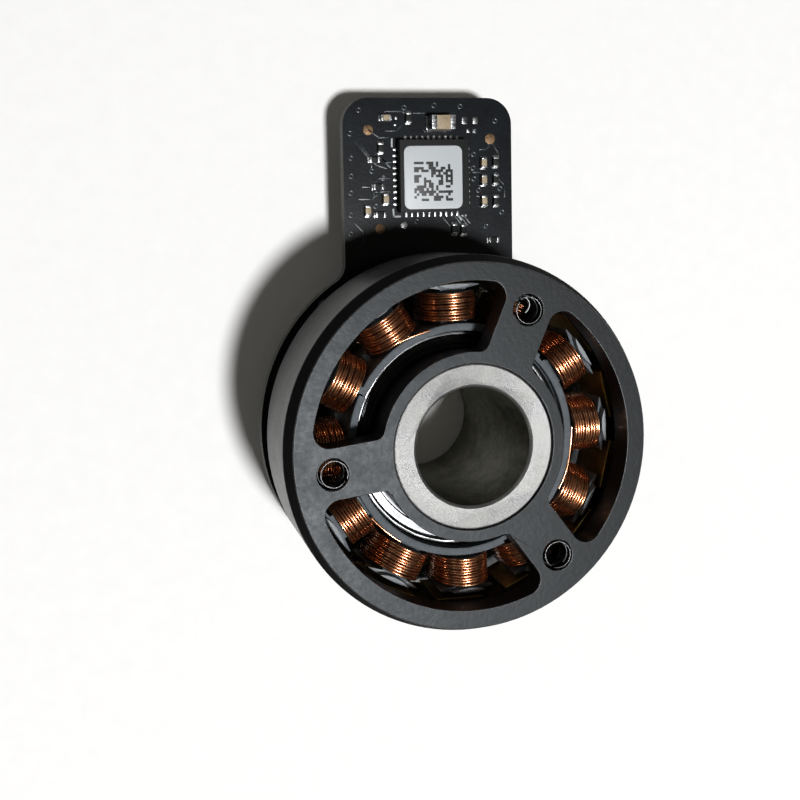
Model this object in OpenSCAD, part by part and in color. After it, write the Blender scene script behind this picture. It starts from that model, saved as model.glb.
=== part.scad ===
// Hollow-shaft outrunner gimbal motor with a control board on a tab.
// Z is the motor axis with the spoked bell in front (+Z), Y points along the board's tab.
// z = 0 is the rear mounting face of the stator base. All sizes are in millimetres.

/* [Shaft] */
// Diameter of the through bore
bore_d = 9; // [8.4:0.1:9.6]
// Wall of the shaft where the bearings sit
shaft_wall = 1.5; // [1.3:0.05:1.8]
// Radial step from the bearing seat to the shaft's front head
head_step = 0.3; // [0.2:0.05:0.4]
// Depth of the shaft's front end below the bell's face
head_recess = 0.15; // [0.05:0.05:0.3]
// Chamfer at both mouths of the bore
bore_chamfer = 0.2; // [0.1:0.05:0.3]

/* [Bearings] */
// Radial section of a bearing, from its bore to its outside
bearing_section = 2; // [1.9:0.05:2.3]
// Width of a bearing
bearing_w = 3; // [2.6:0.1:3.4]
// Diameter of a ball
ball_d = 1.1; // [1:0.05:1.2]
// Number of balls in a bearing
ball_count = 20; // [14:1:22]
// Free gap between a ball and its raceway
ball_gap = 0.05; // [0.03:0.01:0.08]
// Radial thickness of each race
race_t = 0.65; // [0.6:0.05:0.7]
// Thickness of a bearing shield
shield_t = 0.12; // [0.08:0.02:0.16]

/* [Base] */
// Wall of the bearing tube inside the stator core
tube_wall = 0.45; // [0.4:0.05:0.7]
// Width of the shoulder that carries the stator core
shoulder_w = 0.55; // [0.4:0.05:0.7]
// Radial width of the mounting flange outside the shoulder
flange_w = 3.4; // [3.2:0.1:4]
// Thickness of the mounting flange
flange_t = 2.8; // [2.4:0.1:3.4]
// Radius of the rear mounting bolt circle
base_bolt_r = 10.7; // [10.6:0.1:10.8]
// Diameter of a rear mounting hole, tapped M2.5
base_hole_d = 2.05; // [2:0.05:2.1]
// Depth of a rear mounting hole
base_hole_depth = 2.2; // [1.6:0.1:2.2]
// Number of rear mounting holes
base_bolts = 3; // [3:1:4]

/* [Stator core] */
// Number of teeth
slots = 12; // [12:3:12]
// Angle of the first tooth from the X axis
tooth_angle = 2; // [0:1:8]
// Height of the lamination stack
core_h = 4; // [3.4:0.2:5]
// Height of the stack's underside above the board
core_lift = 3.2; // [3:0.1:4]
// Radial thickness of the yoke
yoke_t = 0.6; // [0.55:0.05:1]
// Radial depth of a slot
slot_depth = 2.65; // [2.3:0.05:2.75]
// Width of a tooth
tooth_w = 2.1; // [1.8:0.05:2.3]
// Width of a tooth tip
tip_w = 4.3; // [4:0.1:4.6]
// Radial thickness of a tooth tip at the tooth
tip_t = 0.45; // [0.4:0.05:0.7]
// Radial thickness of a tooth tip at its ends
tip_end_t = 0.25; // [0.2:0.05:0.35]
// Thickness of an end insulator
coat_t = 0.2; // [0.15:0.05:0.3]
// Height of the coil stops on the front insulator
stop_h = 0.55; // [0.4:0.05:0.7]
// Width of the lens-shaped stop on a tooth tip
tip_stop_w = 2.6; // [2.2:0.1:3]
// Radial thickness of the wall at the yoke
yoke_stop_t = 0.34; // [0.28:0.02:0.38]
// Width of the notch in the wall at the yoke, where the wires come up
yoke_notch_w = 0.6; // [0.4:0.1:0.9]
// Free edge of the insulator round the stops
stop_margin = 0.05; // [0.04:0.01:0.08]

/* [Windings] */
// Thickness of the inner layers of a coil
layers_t = 0.64; // [0.5:0.02:0.7]
// Gap between the tooth and the inner layers
liner_gap = 0.1; // [0.06:0.02:0.14]
// Diameter of the outer layer's wire
wire_d = 0.18; // [0.15:0.01:0.19]
// Turns in the outer layer of a coil
turns = 3; // [2:1:3]
// Seat of the outer layer above the inner layers
wire_seat = 0.07; // [0.06:0.01:0.1]
// Corner radius of the outer layer's path
wire_bend_r = 1.1; // [0.9:0.02:1.2]
// Free length between a coil and the yoke or the tip
coil_end_gap = 0.08; // [0.06:0.01:0.1]

/* [Magnets] */
// Number of magnets
magnets = 14; // [14:2:14]
// Angle of the first magnet from the X axis
magnet_angle = 12.5; // [0:0.5:25]
// Width of a magnet
magnet_w = 3.9; // [3.6:0.1:4.4]
// Thickness of a magnet
magnet_t = 0.9; // [0.7:0.05:1.2]
// Air gap from the tooth tips to the magnets
air_gap = 0.45; // [0.35:0.05:0.6]
// Length by which a magnet passes the stack at the rear
magnet_tail = 0.3; // [0.2:0.1:0.4]

/* [Bell] */
// Wall of the flux ring
ring_t = 0.75; // [0.6:0.05:1]
// Length of the flux ring behind the magnets
ring_tail = 0.35; // [0.2:0.05:0.5]
// Thickness of the bell's face and spokes
face_t = 2; // [1.8:0.1:2.6]
// Depth of the sloping shoulder round the face
shoulder_h = 1.2; // [0.8:0.05:1.2]
// Radial width of the sloping shoulder
shoulder_r = 0.55; // [0.4:0.05:0.7]
// Radial width of the face outside the windows
rim_w = 1.95; // [1.8:0.05:2.2]
// Wall of the hub round the shaft
hub_wall = 0.9; // [0.8:0.05:1.1]
// Width of a spoke
spoke_w = 3.9; // [3.6:0.1:4.4]
// Angle of the first spoke from the X axis
spoke_angle = 66.7; // [60:0.1:75]
// Corner radius of a window at the rim
window_rim_r = 1.2; // [0.8:0.1:1.4]
// Corner radius of a window at the hub
window_hub_r = 0.7; // [0.4:0.1:0.9]
// Radius of the front bolt circle
bell_bolt_r = 11; // [10.8:0.1:11.2]
// Outer diameter of a thread insert and of its hole
insert_d = 2.4; // [2.2:0.1:2.5]
// Bore of a thread insert
insert_bore_d = 1.68; // [1.5:0.02:1.8]
// Depth of an insert below the bell's face
insert_sink = 0.45; // [0.3:0.05:0.6]
// Running clearance in front of the coils
coil_clear = 0.3; // [0.25:0.05:0.5]

/* [Circuit board] */
// Thickness of the board
board_t = 1; // [0.8:0.1:1.2]
// Width of the tab
tab_w = 14.75; // [14:0.25:16]
// Sideways shift of the tab from the axis
tab_shift = 0.38; // [0:0.02:0.5]
// Distance from the axis to the tab's end
tab_reach = 27.2; // [26.6:0.2:30]
// Corner radius of the tab
tab_corner_r = 2.2; // [1.6:0.1:2.6]
// Radius of the fillet between tab and disc
tab_fillet_r = 1.8; // [1.2:0.1:2.2]
// Gap between the board and the base's tube
board_gap = 0.2; // [0.1:0.05:0.3]

/* [Board parts] */
// Side of the square controller chip
chip_w = 6; // [5.6:0.1:6.2]
// Height of the chip
chip_h = 0.85; // [0.7:0.05:1]
// Width of the label on the chip
label_w = 5.05; // [4.6:0.05:5.2]
// Length of the label on the chip
label_l = 5.2; // [4.6:0.05:5.3]
// Thickness of the label
label_t = 0.08; // [0.06:0.01:0.12]
// Length of the supply capacitor
supply_cap_l = 2.05; // [1.9:0.05:2.2]
// Width of the supply capacitor
supply_cap_w = 1.15; // [1:0.05:1.25]
// Height of the supply capacitor
supply_cap_h = 1.2; // [0.9:0.05:1.3]
// Length of a small chip capacitor or resistor
chip_part_l = 0.9; // [0.8:0.05:1]
// Width of a small chip capacitor or resistor
chip_part_w = 0.45; // [0.4:0.05:0.5]
// Height of a small chip capacitor
small_cap_h = 0.45; // [0.4:0.05:0.55]
// Height of a chip resistor
resistor_h = 0.3; // [0.25:0.05:0.4]
// Length of a position sensor, along the circle
sensor_l = 2.9; // [2.6:0.1:3]
// Width of a position sensor, along the radius
sensor_w = 1.3; // [1.2:0.1:1.4]
// Height of a position sensor
sensor_h = 0.9; // [0.8:0.05:1]
// Length of the connector behind the tab
plug_l = 6.4; // [5.6:0.2:7]
// Width of the connector behind the tab
plug_w = 2.4; // [2.2:0.1:2.8]
// Height of the connector behind the tab
plug_h = 0.9; // [0.7:0.05:1.2]
// Wall of the connector round its slot
plug_wall = 0.5; // [0.4:0.05:0.6]

/* [Screws] */
// Radius of the circle of board screws
screw_r = 11.2; // [11:0.1:11.3]
// Thread diameter of a board screw
screw_d = 1.2; // [1:0.1:1.4]
// Head diameter of a board screw
screw_head_d = 2.2; // [2:0.1:2.4]
// Head height of a board screw
screw_head_h = 0.7; // [0.5:0.05:0.8]
// Length of a board screw below its head
screw_l = 2.8; // [2.2:0.1:2.8]

/* [Hidden] */

$fn = 96;
// Overrun of a cut past the face it opens
over = 0.4;

// Radii from the shaft outwards
bore_r = bore_d / 2;
shaft_r = bore_r + shaft_wall;
head_r = shaft_r + head_step;
bearing_r = shaft_r + bearing_section;
ball_circle_r = (shaft_r + bearing_r) / 2;
inner_race_r = shaft_r + race_t;
outer_race_r = bearing_r - race_t;
tube_r = bearing_r + tube_wall;
seat_r = tube_r + shoulder_w;
flange_r = seat_r + flange_w;
yoke_r = tube_r + yoke_t;
slot_r = yoke_r + slot_depth;
stator_r = slot_r + tip_t;
magnet_r = stator_r + air_gap;
magnet_back = magnet_r + magnet_t;
// Glue film behind the magnets' corners and round the bell's spigot
glue_gap = 0.01;
spigot_gap = 0.03;
ring_in_r = norm([magnet_back, magnet_w / 2]) + glue_gap;
rotor_r = ring_in_r + ring_t;
face_r = rotor_r - shoulder_r;
window_r = rotor_r - rim_w;
hub_r = head_r + hub_wall;
spigot_r = ring_in_r - spigot_gap;
board_r = rotor_r;

// Heights from the base's mounting face forwards
board_z = flange_t;
board_top = board_z + board_t;
core_z = board_top + core_lift;
seat_z = core_z - coat_t;
core_top = core_z + core_h;
coat_top = core_top + coat_t;
// The tube ends below the front insulator and the front bearing lies in its mouth
tube_drop = 0.3;
tube_top = coat_top - tube_drop;
mouth_depth = 0.3;
front_bearing_top = tube_top - mouth_depth;
front_bearing_z = front_bearing_top - bearing_w;
rear_bearing_z = 1.7;
rear_bearing_top = rear_bearing_z + bearing_w;
coil_top = coat_top + layers_t + wire_seat + wire_d;
face_under = coil_top + coil_clear;
face_z = face_under + face_t;
magnet_z = core_z - magnet_tail;
ring_z = magnet_z - ring_tail;
ring_top = face_z - shoulder_h;
shaft_top = face_z - head_recess;
shaft_bottom = 0.2;

// Land between the two bearings in the base's tube
land_h_drop = 0.6;
land_r = bearing_r - land_h_drop;
// Edge chamfers of turned parts
edge_c = 0.2;
race_c = 0.12;

module at_circle(count, radius, start) {
    for (i = [0 : count - 1]) {
        rotate([0, 0, start + i * 360 / count]) translate([radius, 0, 0]) children();
    }
}

module tube(outer_r, inner_r, low, high) {
    translate([0, 0, low]) difference() {
        cylinder(r = outer_r, h = high - low);
        translate([0, 0, -over]) cylinder(r = inner_r, h = high - low + 2 * over);
    }
}

// Bell: rim, three spokes with filleted windows, hub and hub collar

// Depth of the hub's collar behind the face's underside, and its wall
hub_collar_r = head_r + hub_wall - 0.25 * hub_wall;
collar_gap = 0.4;
collar_z = front_bearing_top + collar_gap;
// Overlap that joins the pieces of the bell's outline
web = 0.3;

// A fillet's circle bites a trace past its tangent points, so that no bare tangent is left
fillet_bite = 0.004;

// Fillets on one side of a spoke that runs along X, at the rim and at the hub
module window_fillets() {
    half = spoke_w / 2;
    rim_v = half + window_rim_r;
    rim_u = sqrt(pow(window_r - window_rim_r, 2) - pow(rim_v, 2));
    rim_k = (window_r + web) / norm([rim_u, rim_v]);
    hub_v = half + window_hub_r;
    hub_u = sqrt(pow(hub_r + window_hub_r, 2) - pow(hub_v, 2));
    hub_k = (hub_r - web) / norm([hub_u, hub_v]);
    low_v = half - web;
    difference() {
        polygon([
            [rim_u, low_v],
            [window_r + web, low_v],
            [rim_u * rim_k, rim_v * rim_k],
            [rim_u, rim_v]
        ]);
        translate([rim_u, rim_v]) circle(r = window_rim_r + fillet_bite);
    }
    difference() {
        polygon([
            [hub_u, hub_v],
            [hub_u * hub_k, hub_v * hub_k],
            [hub_r - web, low_v],
            [hub_u, low_v]
        ]);
        translate([hub_u, hub_v]) circle(r = window_hub_r + fillet_bite);
    }
}

module bell_outline() {
    difference() {
        circle(r = spigot_r);
        circle(r = window_r);
    }
    circle(r = hub_r);
    for (i = [0 : 2]) {
        rotate(spoke_angle + i * 120) {
            translate([0, -spoke_w / 2]) square([window_r + web, spoke_w]);
            window_fillets();
            mirror([0, 1]) window_fillets();
        }
    }
}

module bell() {
    rim_joint_r = (window_r + spigot_r) / 2;
    color([0.1, 0.1, 0.11]) difference() {
        union() {
            translate([0, 0, face_under]) linear_extrude(height = face_t) bell_outline();
            rotate_extrude() polygon([
                [rim_joint_r, ring_top],
                [rim_joint_r, face_z],
                [face_r, face_z],
                [rotor_r, ring_top]
            ]);
            translate([0, 0, collar_z]) cylinder(r = hub_collar_r, h = face_z - collar_z - web);
        }
        translate([0, 0, collar_z - over]) cylinder(r = head_r, h = face_z - collar_z + 2 * over);
        at_circle(3, bell_bolt_r, spoke_angle) {
            translate([0, 0, face_under - over]) cylinder(d = insert_d, h = face_t + 2 * over);
        }
    }
}

module flux_ring() {
    color([0.12, 0.12, 0.13]) difference() {
        tube(rotor_r, ring_in_r, ring_z, ring_top);
        translate([0, 0, ring_z - over]) difference() {
            cylinder(r = rotor_r + over, h = over + edge_c);
            translate([0, 0, -over]) cylinder(r = rotor_r - edge_c, h = edge_c + 3 * over);
            translate([0, 0, over]) cylinder(r1 = rotor_r - edge_c, r2 = rotor_r, h = edge_c);
        }
    }
}

module rotor_magnets() {
    color([0.72, 0.72, 0.7]) at_circle(magnets, magnet_r, magnet_angle) {
        translate([0, -magnet_w / 2, magnet_z]) cube([magnet_t, magnet_w, coat_top - magnet_z]);
    }
}

module thread_inserts() {
    insert_z = face_under + insert_sink / 3;
    color([0.75, 0.75, 0.74]) at_circle(3, bell_bolt_r, spoke_angle) {
        tube(insert_d / 2, insert_bore_d / 2, insert_z, face_z - insert_sink);
    }
}

// Shaft, with the groove for its retaining ring
clip_t = 0.4;
clip_z = 0.9;
clip_sink = 0.25;
clip_rise = 0.9;
groove_play = 0.02;

module hollow_shaft() {
    color([0.72, 0.7, 0.67]) rotate_extrude() polygon([
        [bore_r, shaft_bottom + bore_chamfer],
        [bore_r + bore_chamfer, shaft_bottom],
        [shaft_r - race_c, shaft_bottom],
        [shaft_r, shaft_bottom + race_c],
        [shaft_r, clip_z - groove_play],
        [shaft_r - clip_sink, clip_z - groove_play],
        [shaft_r - clip_sink, clip_z + clip_t + groove_play],
        [shaft_r, clip_z + clip_t + groove_play],
        [shaft_r, front_bearing_top],
        [head_r, front_bearing_top],
        [head_r, shaft_top - race_c],
        [head_r - race_c, shaft_top],
        [bore_r + bore_chamfer, shaft_top],
        [bore_r, shaft_top - bore_chamfer]
    ]);
}

// Bearings: races with raceway grooves, balls, cage and shields
groove_r = ball_d / 2 + ball_gap;

module race_groove(low) {
    translate([0, 0, low + bearing_w / 2]) rotate_extrude() {
        translate([ball_circle_r, 0]) circle(r = groove_r, $fn = 48);
    }
}

module inner_race(low) {
    color([0.8, 0.8, 0.8]) difference() {
        tube(inner_race_r, shaft_r, low, low + bearing_w);
        race_groove(low);
    }
}

module outer_race(low) {
    color([0.8, 0.8, 0.8]) difference() {
        tube(bearing_r, outer_race_r, low, low + bearing_w);
        race_groove(low);
    }
}

module ball_set(low) {
    color([0.85, 0.85, 0.86]) at_circle(ball_count, ball_circle_r, 0) {
        translate([0, 0, low + bearing_w / 2]) sphere(d = ball_d, $fn = 32);
    }
}

// Half height, wall and pocket play of a ball cage
cage_half_h = 0.8;
cage_wall = 0.4;
pocket_play = 0.05;

module ball_cage(low) {
    mid = low + bearing_w / 2;
    color([0.3, 0.26, 0.2]) difference() {
        tube(
            ball_circle_r + cage_wall / 2, ball_circle_r - cage_wall / 2,
            mid - cage_half_h, mid + cage_half_h
        );
        at_circle(ball_count, ball_circle_r, 0) {
            translate([-cage_wall, 0, mid]) rotate([0, 90, 0]) {
                cylinder(d = ball_d + 2 * pocket_play, h = 2 * cage_wall, $fn = 32);
            }
        }
    }
}

// Shields stand a little inside the race's faces
shield_inset = 0.1;
shield_play = 0.08;

module shields(low) {
    inner = inner_race_r + shield_play;
    high = low + bearing_w - shield_inset;
    color([0.7, 0.7, 0.7]) {
        tube(outer_race_r, inner, low + shield_inset, low + shield_inset + shield_t);
        tube(outer_race_r, inner, high - shield_t, high);
    }
}

// Preload washer with three waves, between the retaining ring and the rear inner race
washer_t = 0.12;
washer_w = 0.45;
washer_play = 0.06;
washer_waves = 3;
washer_steps = 36;

module wave_washer() {
    low = clip_z + clip_t;
    free = rear_bearing_z - low - washer_t;
    radii = [shaft_r + washer_play, shaft_r + washer_play + washer_w];
    points = [
        for (i = [0 : washer_steps - 1])
            let (a = 360 * i / washer_steps)
            let (z = low + free / 2 * (1 + 0.98 * sin(a * washer_waves)))
            for (c = [[0, 0], [1, 0], [1, 1], [0, 1]])
                [radii[c[0]] * cos(a), radii[c[0]] * sin(a), z + c[1] * washer_t]
    ];
    faces = [
        for (i = [0 : washer_steps - 1])
            let (j = (i + 1) % washer_steps)
            for (k = [0 : 3])
                let (m = (k + 1) % 4)
                for (t = [
                    [4 * i + k, 4 * j + m, 4 * j + k],
                    [4 * i + k, 4 * i + m, 4 * j + m]
                ]) t
    ];
    color([0.6, 0.62, 0.66]) polyhedron(points = points, faces = faces);
}

// Retaining ring: an open ring with two drilled ears
clip_open = 50;
ear_r = 0.62;
ear_hole_d = 0.5;

module retaining_ring() {
    inner = shaft_r - clip_sink + groove_play;
    outer = inner + clip_rise;
    gap_u = outer + over;
    ear_u = outer - ear_r / 3;
    color([0.25, 0.25, 0.27]) translate([0, 0, clip_z]) linear_extrude(height = clip_t) {
        difference() {
            circle(r = outer);
            circle(r = inner);
            polygon([
                [0, 0],
                gap_u * [cos(clip_open / 2), -sin(clip_open / 2)],
                gap_u * [1, 0] / cos(clip_open / 2),
                gap_u * [cos(clip_open / 2), sin(clip_open / 2)]
            ]);
        }
        for (side = [-1, 1]) rotate(side * (clip_open / 2 + 4)) difference() {
            intersection() {
                translate([ear_u, 0]) circle(r = ear_r);
                difference() {
                    circle(r = outer + ear_r);
                    circle(r = inner);
                }
            }
            translate([ear_u, 0]) circle(d = ear_hole_d, $fn = 32);
        }
    }
}

// Base: flange, bearing tube, land between the bearings, tapped holes
module stator_base() {
    screw_hole_depth = screw_l - board_t + over / 4;
    color([0.74, 0.74, 0.73]) difference() {
        rotate_extrude() polygon([
            [bearing_r + edge_c, 0],
            [flange_r - edge_c, 0],
            [flange_r, edge_c],
            [flange_r, flange_t],
            [seat_r, flange_t],
            [seat_r, seat_z],
            [tube_r, seat_z],
            [tube_r, tube_top - race_c],
            [tube_r - race_c, tube_top],
            [bearing_r + race_c, tube_top],
            [bearing_r, tube_top - race_c],
            [bearing_r, front_bearing_z],
            [land_r, front_bearing_z],
            [land_r, rear_bearing_top],
            [bearing_r, rear_bearing_top],
            [bearing_r, edge_c]
        ]);
        at_circle(base_bolts, base_bolt_r, 90) {
            translate([0, 0, -over]) cylinder(d = base_hole_d, h = base_hole_depth + over);
        }
        at_circle(3, screw_r, 30) {
            translate([0, 0, flange_t - screw_hole_depth]) {
                cylinder(d = screw_d, h = screw_hole_depth + over);
            }
        }
    }
}

// Stator core and its end insulators share one outline
module core_outline() {
    difference() {
        union() {
            circle(r = yoke_r);
            intersection() {
                circle(r = stator_r);
                for (i = [0 : slots - 1]) rotate(tooth_angle + i * 360 / slots) {
                    translate([0, -tooth_w / 2]) square([stator_r + over, tooth_w]);
                    polygon([
                        [slot_r - tooth_w / 4, 0],
                        [slot_r, -tooth_w / 2],
                        [stator_r - tip_end_t, -tip_w / 2],
                        [stator_r + over, -tip_w / 2],
                        [stator_r + over, tip_w / 2],
                        [stator_r - tip_end_t, tip_w / 2],
                        [slot_r, tooth_w / 2]
                    ]);
                }
            }
        }
        circle(r = tube_r);
    }
}

module stator_core() {
    color([0.35, 0.35, 0.37]) translate([0, 0, core_z]) linear_extrude(height = core_h) {
        core_outline();
    }
}

module end_insulator(low) {
    color([0.6, 0.62, 0.64]) translate([0, 0, low]) linear_extrude(height = coat_t) {
        core_outline();
    }
}

// Coil stops: a lens on each tooth tip, and at the yoke a wall with one notch for each phase
module tip_stop() {
    outer_r = stator_r - stop_margin;
    inner_u = slot_r + stop_margin;
    bulge = sqrt(pow(outer_r, 2) - pow(tip_stop_w / 2, 2)) - inner_u;
    lens_r = (pow(tip_stop_w / 2, 2) / bulge + bulge) / 2;
    intersection() {
        circle(r = outer_r);
        translate([inner_u + lens_r, 0]) circle(r = lens_r);
    }
}

module yoke_wall() {
    inner_r = tube_r + stop_margin;
    difference() {
        circle(r = inner_r + yoke_stop_t);
        circle(r = inner_r);
        for (k = [0 : 2]) rotate(tooth_angle + (1 + 4 * k) * 360 / slots) {
            translate([0, -yoke_notch_w / 2]) square([stator_r, yoke_notch_w]);
        }
    }
}

module front_end_insulator() {
    end_insulator(core_top);
    color([0.6, 0.62, 0.64]) translate([0, 0, core_top + coat_t / 2]) {
        linear_extrude(height = coat_t / 2 + stop_h) {
            for (i = [0 : slots - 1]) rotate(tooth_angle + i * 360 / slots) tip_stop();
            yoke_wall();
        }
    }
}

// Windings: the inner layers of a coil are one block, the outer layer is one wound wire
coil_u0 = yoke_r + coil_end_gap;
coil_u1 = slot_r - coil_end_gap;
hole_half_v = tooth_w / 2 + liner_gap;
hole_half_z = core_h / 2 + coat_t;
block_half_v = hole_half_v + layers_t;
block_half_z = hole_half_z + layers_t;
core_mid_z = core_z + core_h / 2;
wire_r = wire_d / 2;
path_half_v = block_half_v + wire_seat + wire_r;
path_half_z = block_half_z + wire_seat + wire_r;
// The block's corners stay inside the chords of the wound wire
bend_step = 45;
block_corner_r = wire_bend_r * cos(bend_step / 2) - wire_r;
corner_v = path_half_v - wire_bend_r;
corner_z = path_half_z - wire_bend_r;
wire_sides = 6;

// Path of one wire: centre u, v, z and the angle of its outward normal
function wire_place(corner, angle) =
    let (sv = (corner == 0 || corner == 1) ? 1 : -1)
    let (sz = (corner == 1 || corner == 2) ? 1 : -1)
    [
        sv * corner_v + wire_bend_r * cos(angle),
        sz * corner_z + wire_bend_r * sin(angle),
        angle
    ];
wire_loops = [
    for (k = [0 : turns - 1]) for (c = [0 : 3]) for (b = [0 : 2])
        wire_place(c, -90 + 90 * c + b * bend_step)
];
wire_flat = concat(
    [[0, -path_half_z, -90]],
    wire_loops,
    [[0, -path_half_z, 270]]
);
wire_count = len(wire_flat);
wire_u0 = coil_u0 + wire_r;
wire_u1 = coil_u1 - wire_r;
wire_path = [
    for (i = [0 : wire_count - 1])
        [
            wire_u0 + (wire_u1 - wire_u0) * i / (wire_count - 1),
            wire_flat[i][0],
            wire_flat[i][1]
        ]
];
// A turn is 12 points long, so points half a turn or more apart lie on different passes
half_turn = 6;
wire_gap = min([
    for (i = [0 : wire_count - 1 - half_turn]) for (j = [i + half_turn : wire_count - 1])
        norm(wire_path[i] - wire_path[j]) - wire_d
]);
echo(least_gap_of_a_wound_wire_to_itself_mm = wire_gap);

module coil_block() {
    difference() {
        translate([coil_u0, 0, core_mid_z]) rotate([90, 0, 90]) {
            linear_extrude(height = coil_u1 - coil_u0) difference() {
                union() {
                    square([2 * (block_half_v - block_corner_r), 2 * block_half_z], center = true);
                    square([2 * block_half_v, 2 * (block_half_z - block_corner_r)], center = true);
                    for (sv = [-1, 1]) for (sz = [-1, 1]) {
                        translate([
                            sv * (block_half_v - block_corner_r),
                            sz * (block_half_z - block_corner_r)
                        ]) circle(r = block_corner_r, $fn = 48);
                    }
                }
                square([2 * hole_half_v, 2 * hole_half_z], center = true);
            }
        }
    }
}

module coil_wire() {
    points = [
        for (i = [0 : wire_count - 1]) for (s = [0 : wire_sides - 1])
            let (a = 360 * s / wire_sides)
            let (n = wire_flat[i][2])
            wire_path[i]
                + wire_r * cos(a) * [0, cos(n), sin(n)]
                + wire_r * sin(a) * [1, 0, 0]
    ];
    sides = [
        for (i = [0 : wire_count - 2]) for (s = [0 : wire_sides - 1])
            let (t = (s + 1) % wire_sides)
            let (p = i * wire_sides)
            let (q = p + wire_sides)
            for (f = [[p + s, q + t, q + s], [p + s, p + t, q + t]]) f
    ];
    last = (wire_count - 1) * wire_sides;
    caps = [
        for (s = [1 : wire_sides - 2]) for (f = [[0, s + 1, s], [last, last + s, last + s + 1]]) f
    ];
    translate([0, 0, core_mid_z]) polyhedron(points = points, faces = concat(sides, caps));
}

module phase_teeth(phase) {
    for (i = [phase : 3 : slots - 1]) {
        rotate([0, 0, tooth_angle + i * 360 / slots]) children();
    }
}

module phase_coils(phase) {
    color([0.6, 0.3, 0.14]) phase_teeth(phase) coil_block();
}

module phase_turns(phase) {
    color([0.78, 0.42, 0.2]) phase_teeth(phase) coil_wire();
}

// Start of each phase: a wire from a coil's rear crown down to the board
lead_d = 0.24;
lead_teeth = [7, 8, 9];

module phase_leads() {
    pitch = (wire_u1 - wire_u0) / turns;
    color([0.7, 0.38, 0.18]) for (i = lead_teeth) {
        rotate([0, 0, tooth_angle + i * 360 / slots]) {
            translate([wire_u0 + pitch / 2, 0, board_top]) {
                cylinder(d = lead_d, h = core_mid_z - block_half_z - board_top, $fn = 24);
            }
        }
    }
}

// Circuit board: disc and rounded tab with filleted roots
screw_play = 0.1;
tab_left = tab_shift - tab_w / 2;
tab_right = tab_shift + tab_w / 2;
screw_hole_d = screw_d + screw_play;

// Fillet between the disc and a tab edge that stands to the right of the axis
module tab_fillet(edge) {
    cx = edge + tab_fillet_r;
    reach = board_r + tab_fillet_r;
    cy = sqrt(pow(reach, 2) - pow(cx, 2));
    touch = [cx, cy] * (board_r - web) / reach;
    difference() {
        polygon([
            [edge - web, touch[1] - web],
            touch,
            [cx, cy],
            [edge - web, cy]
        ]);
        translate([cx, cy]) circle(r = tab_fillet_r + fillet_bite);
    }
}

module board_outline() {
    circle(r = board_r);
    translate([tab_left, 0]) square([tab_w, tab_reach - tab_corner_r]);
    translate([tab_left + tab_corner_r, 0]) square([tab_w - 2 * tab_corner_r, tab_reach]);
    for (x = [tab_left + tab_corner_r, tab_right - tab_corner_r]) {
        translate([x, tab_reach - tab_corner_r]) circle(r = tab_corner_r);
    }
    tab_fillet(tab_right);
    mirror([1, 0]) tab_fillet(-tab_left);
}

module circuit_board() {
    color([0.07, 0.09, 0.13]) translate([0, 0, board_z]) linear_extrude(height = board_t) {
        difference() {
            board_outline();
            circle(r = seat_r + board_gap);
            for (i = [0 : 2]) rotate(30 + i * 120) {
                translate([screw_r, 0]) circle(d = screw_hole_d, $fn = 48);
            }
        }
    }
}

// Places on the tab are shares of its width, from its middle, and of its free length
tab_root = board_r;
tab_free = tab_reach - tab_root;
chip_share = [0.015, 0.492];
label_share = [0.005, 0.481];

module on_tab(place_share) {
    translate([
        tab_shift + place_share[0] * tab_w,
        tab_root + place_share[1] * tab_free,
        board_top
    ]) children();
}

module block(length, width, height) {
    translate([-length / 2, -width / 2, 0]) cube([length, width, height]);
}

// Leadless package with its row of pads round the foot
pad_pitch = 0.5;
pad_w = 0.25;
pad_t = 0.05;
pad_out = 0.12;
pads_a_side = 10;

module controller_chip() {
    color([0.08, 0.08, 0.09]) on_tab(chip_share) {
        translate([0, 0, pad_t]) block(chip_w, chip_w, chip_h - pad_t);
        block(chip_w - 2 * pad_out, chip_w - 2 * pad_out, pad_t + pad_t / 2);
        for (r = [0 : 3]) rotate([0, 0, 90 * r]) {
            for (i = [0 : pads_a_side - 1]) {
                translate([(i - (pads_a_side - 1) / 2) * pad_pitch, chip_w / 2 - pad_out, 0]) {
                    block(pad_w, 4 * pad_out, pad_t);
                }
            }
        }
    }
}

label_corner_r = 0.45;

module chip_label() {
    color([0.82, 0.85, 0.88]) on_tab(label_share) translate([0, 0, chip_h]) {
        linear_extrude(height = label_t) {
            square([label_w - 2 * label_corner_r, label_l], center = true);
            square([label_w, label_l - 2 * label_corner_r], center = true);
            for (sx = [-1, 1]) for (sy = [-1, 1]) {
                translate([
                    sx * (label_w / 2 - label_corner_r),
                    sy * (label_l / 2 - label_corner_r)
                ]) circle(r = label_corner_r, $fn = 32);
            }
        }
    }
}

supply_cap_share = [0.064, 0.834];

module supply_capacitor() {
    color([0.55, 0.47, 0.38]) on_tab(supply_cap_share) {
        block(supply_cap_l, supply_cap_w, supply_cap_h);
    }
}

// Small parts: place as shares of the tab, and 1 where the part lies along Y
cap_shares = [
    [0.323, 0.574, 1], [0.323, 0.461, 1], [0.323, 0.324, 1],
    [-0.254, 0.87, 0], [-0.368, 0.274, 1], [-0.262, 0.349, 1]
];
resistor_shares = [
    [-0.12, 0.87, 1], [-0.285, 0.678, 1], [-0.322, 0.602, 0], [-0.302, 0.427, 0],
    [-0.293, 0.247, 0], [0.145, 0.144, 1], [0.199, 0.136, 1],
    [0.398, 0.58, 1], [0.398, 0.465, 1], [0.398, 0.323, 1], [0.381, 0.064, 0]
];

module small_parts(places_shares, height) {
    for (p = places_shares) on_tab(p) {
        rotate([0, 0, 90 * p[2]]) block(chip_part_l, chip_part_w, height);
    }
}

module small_capacitors() {
    color([0.5, 0.4, 0.3]) small_parts(cap_shares, small_cap_h);
}

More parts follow.
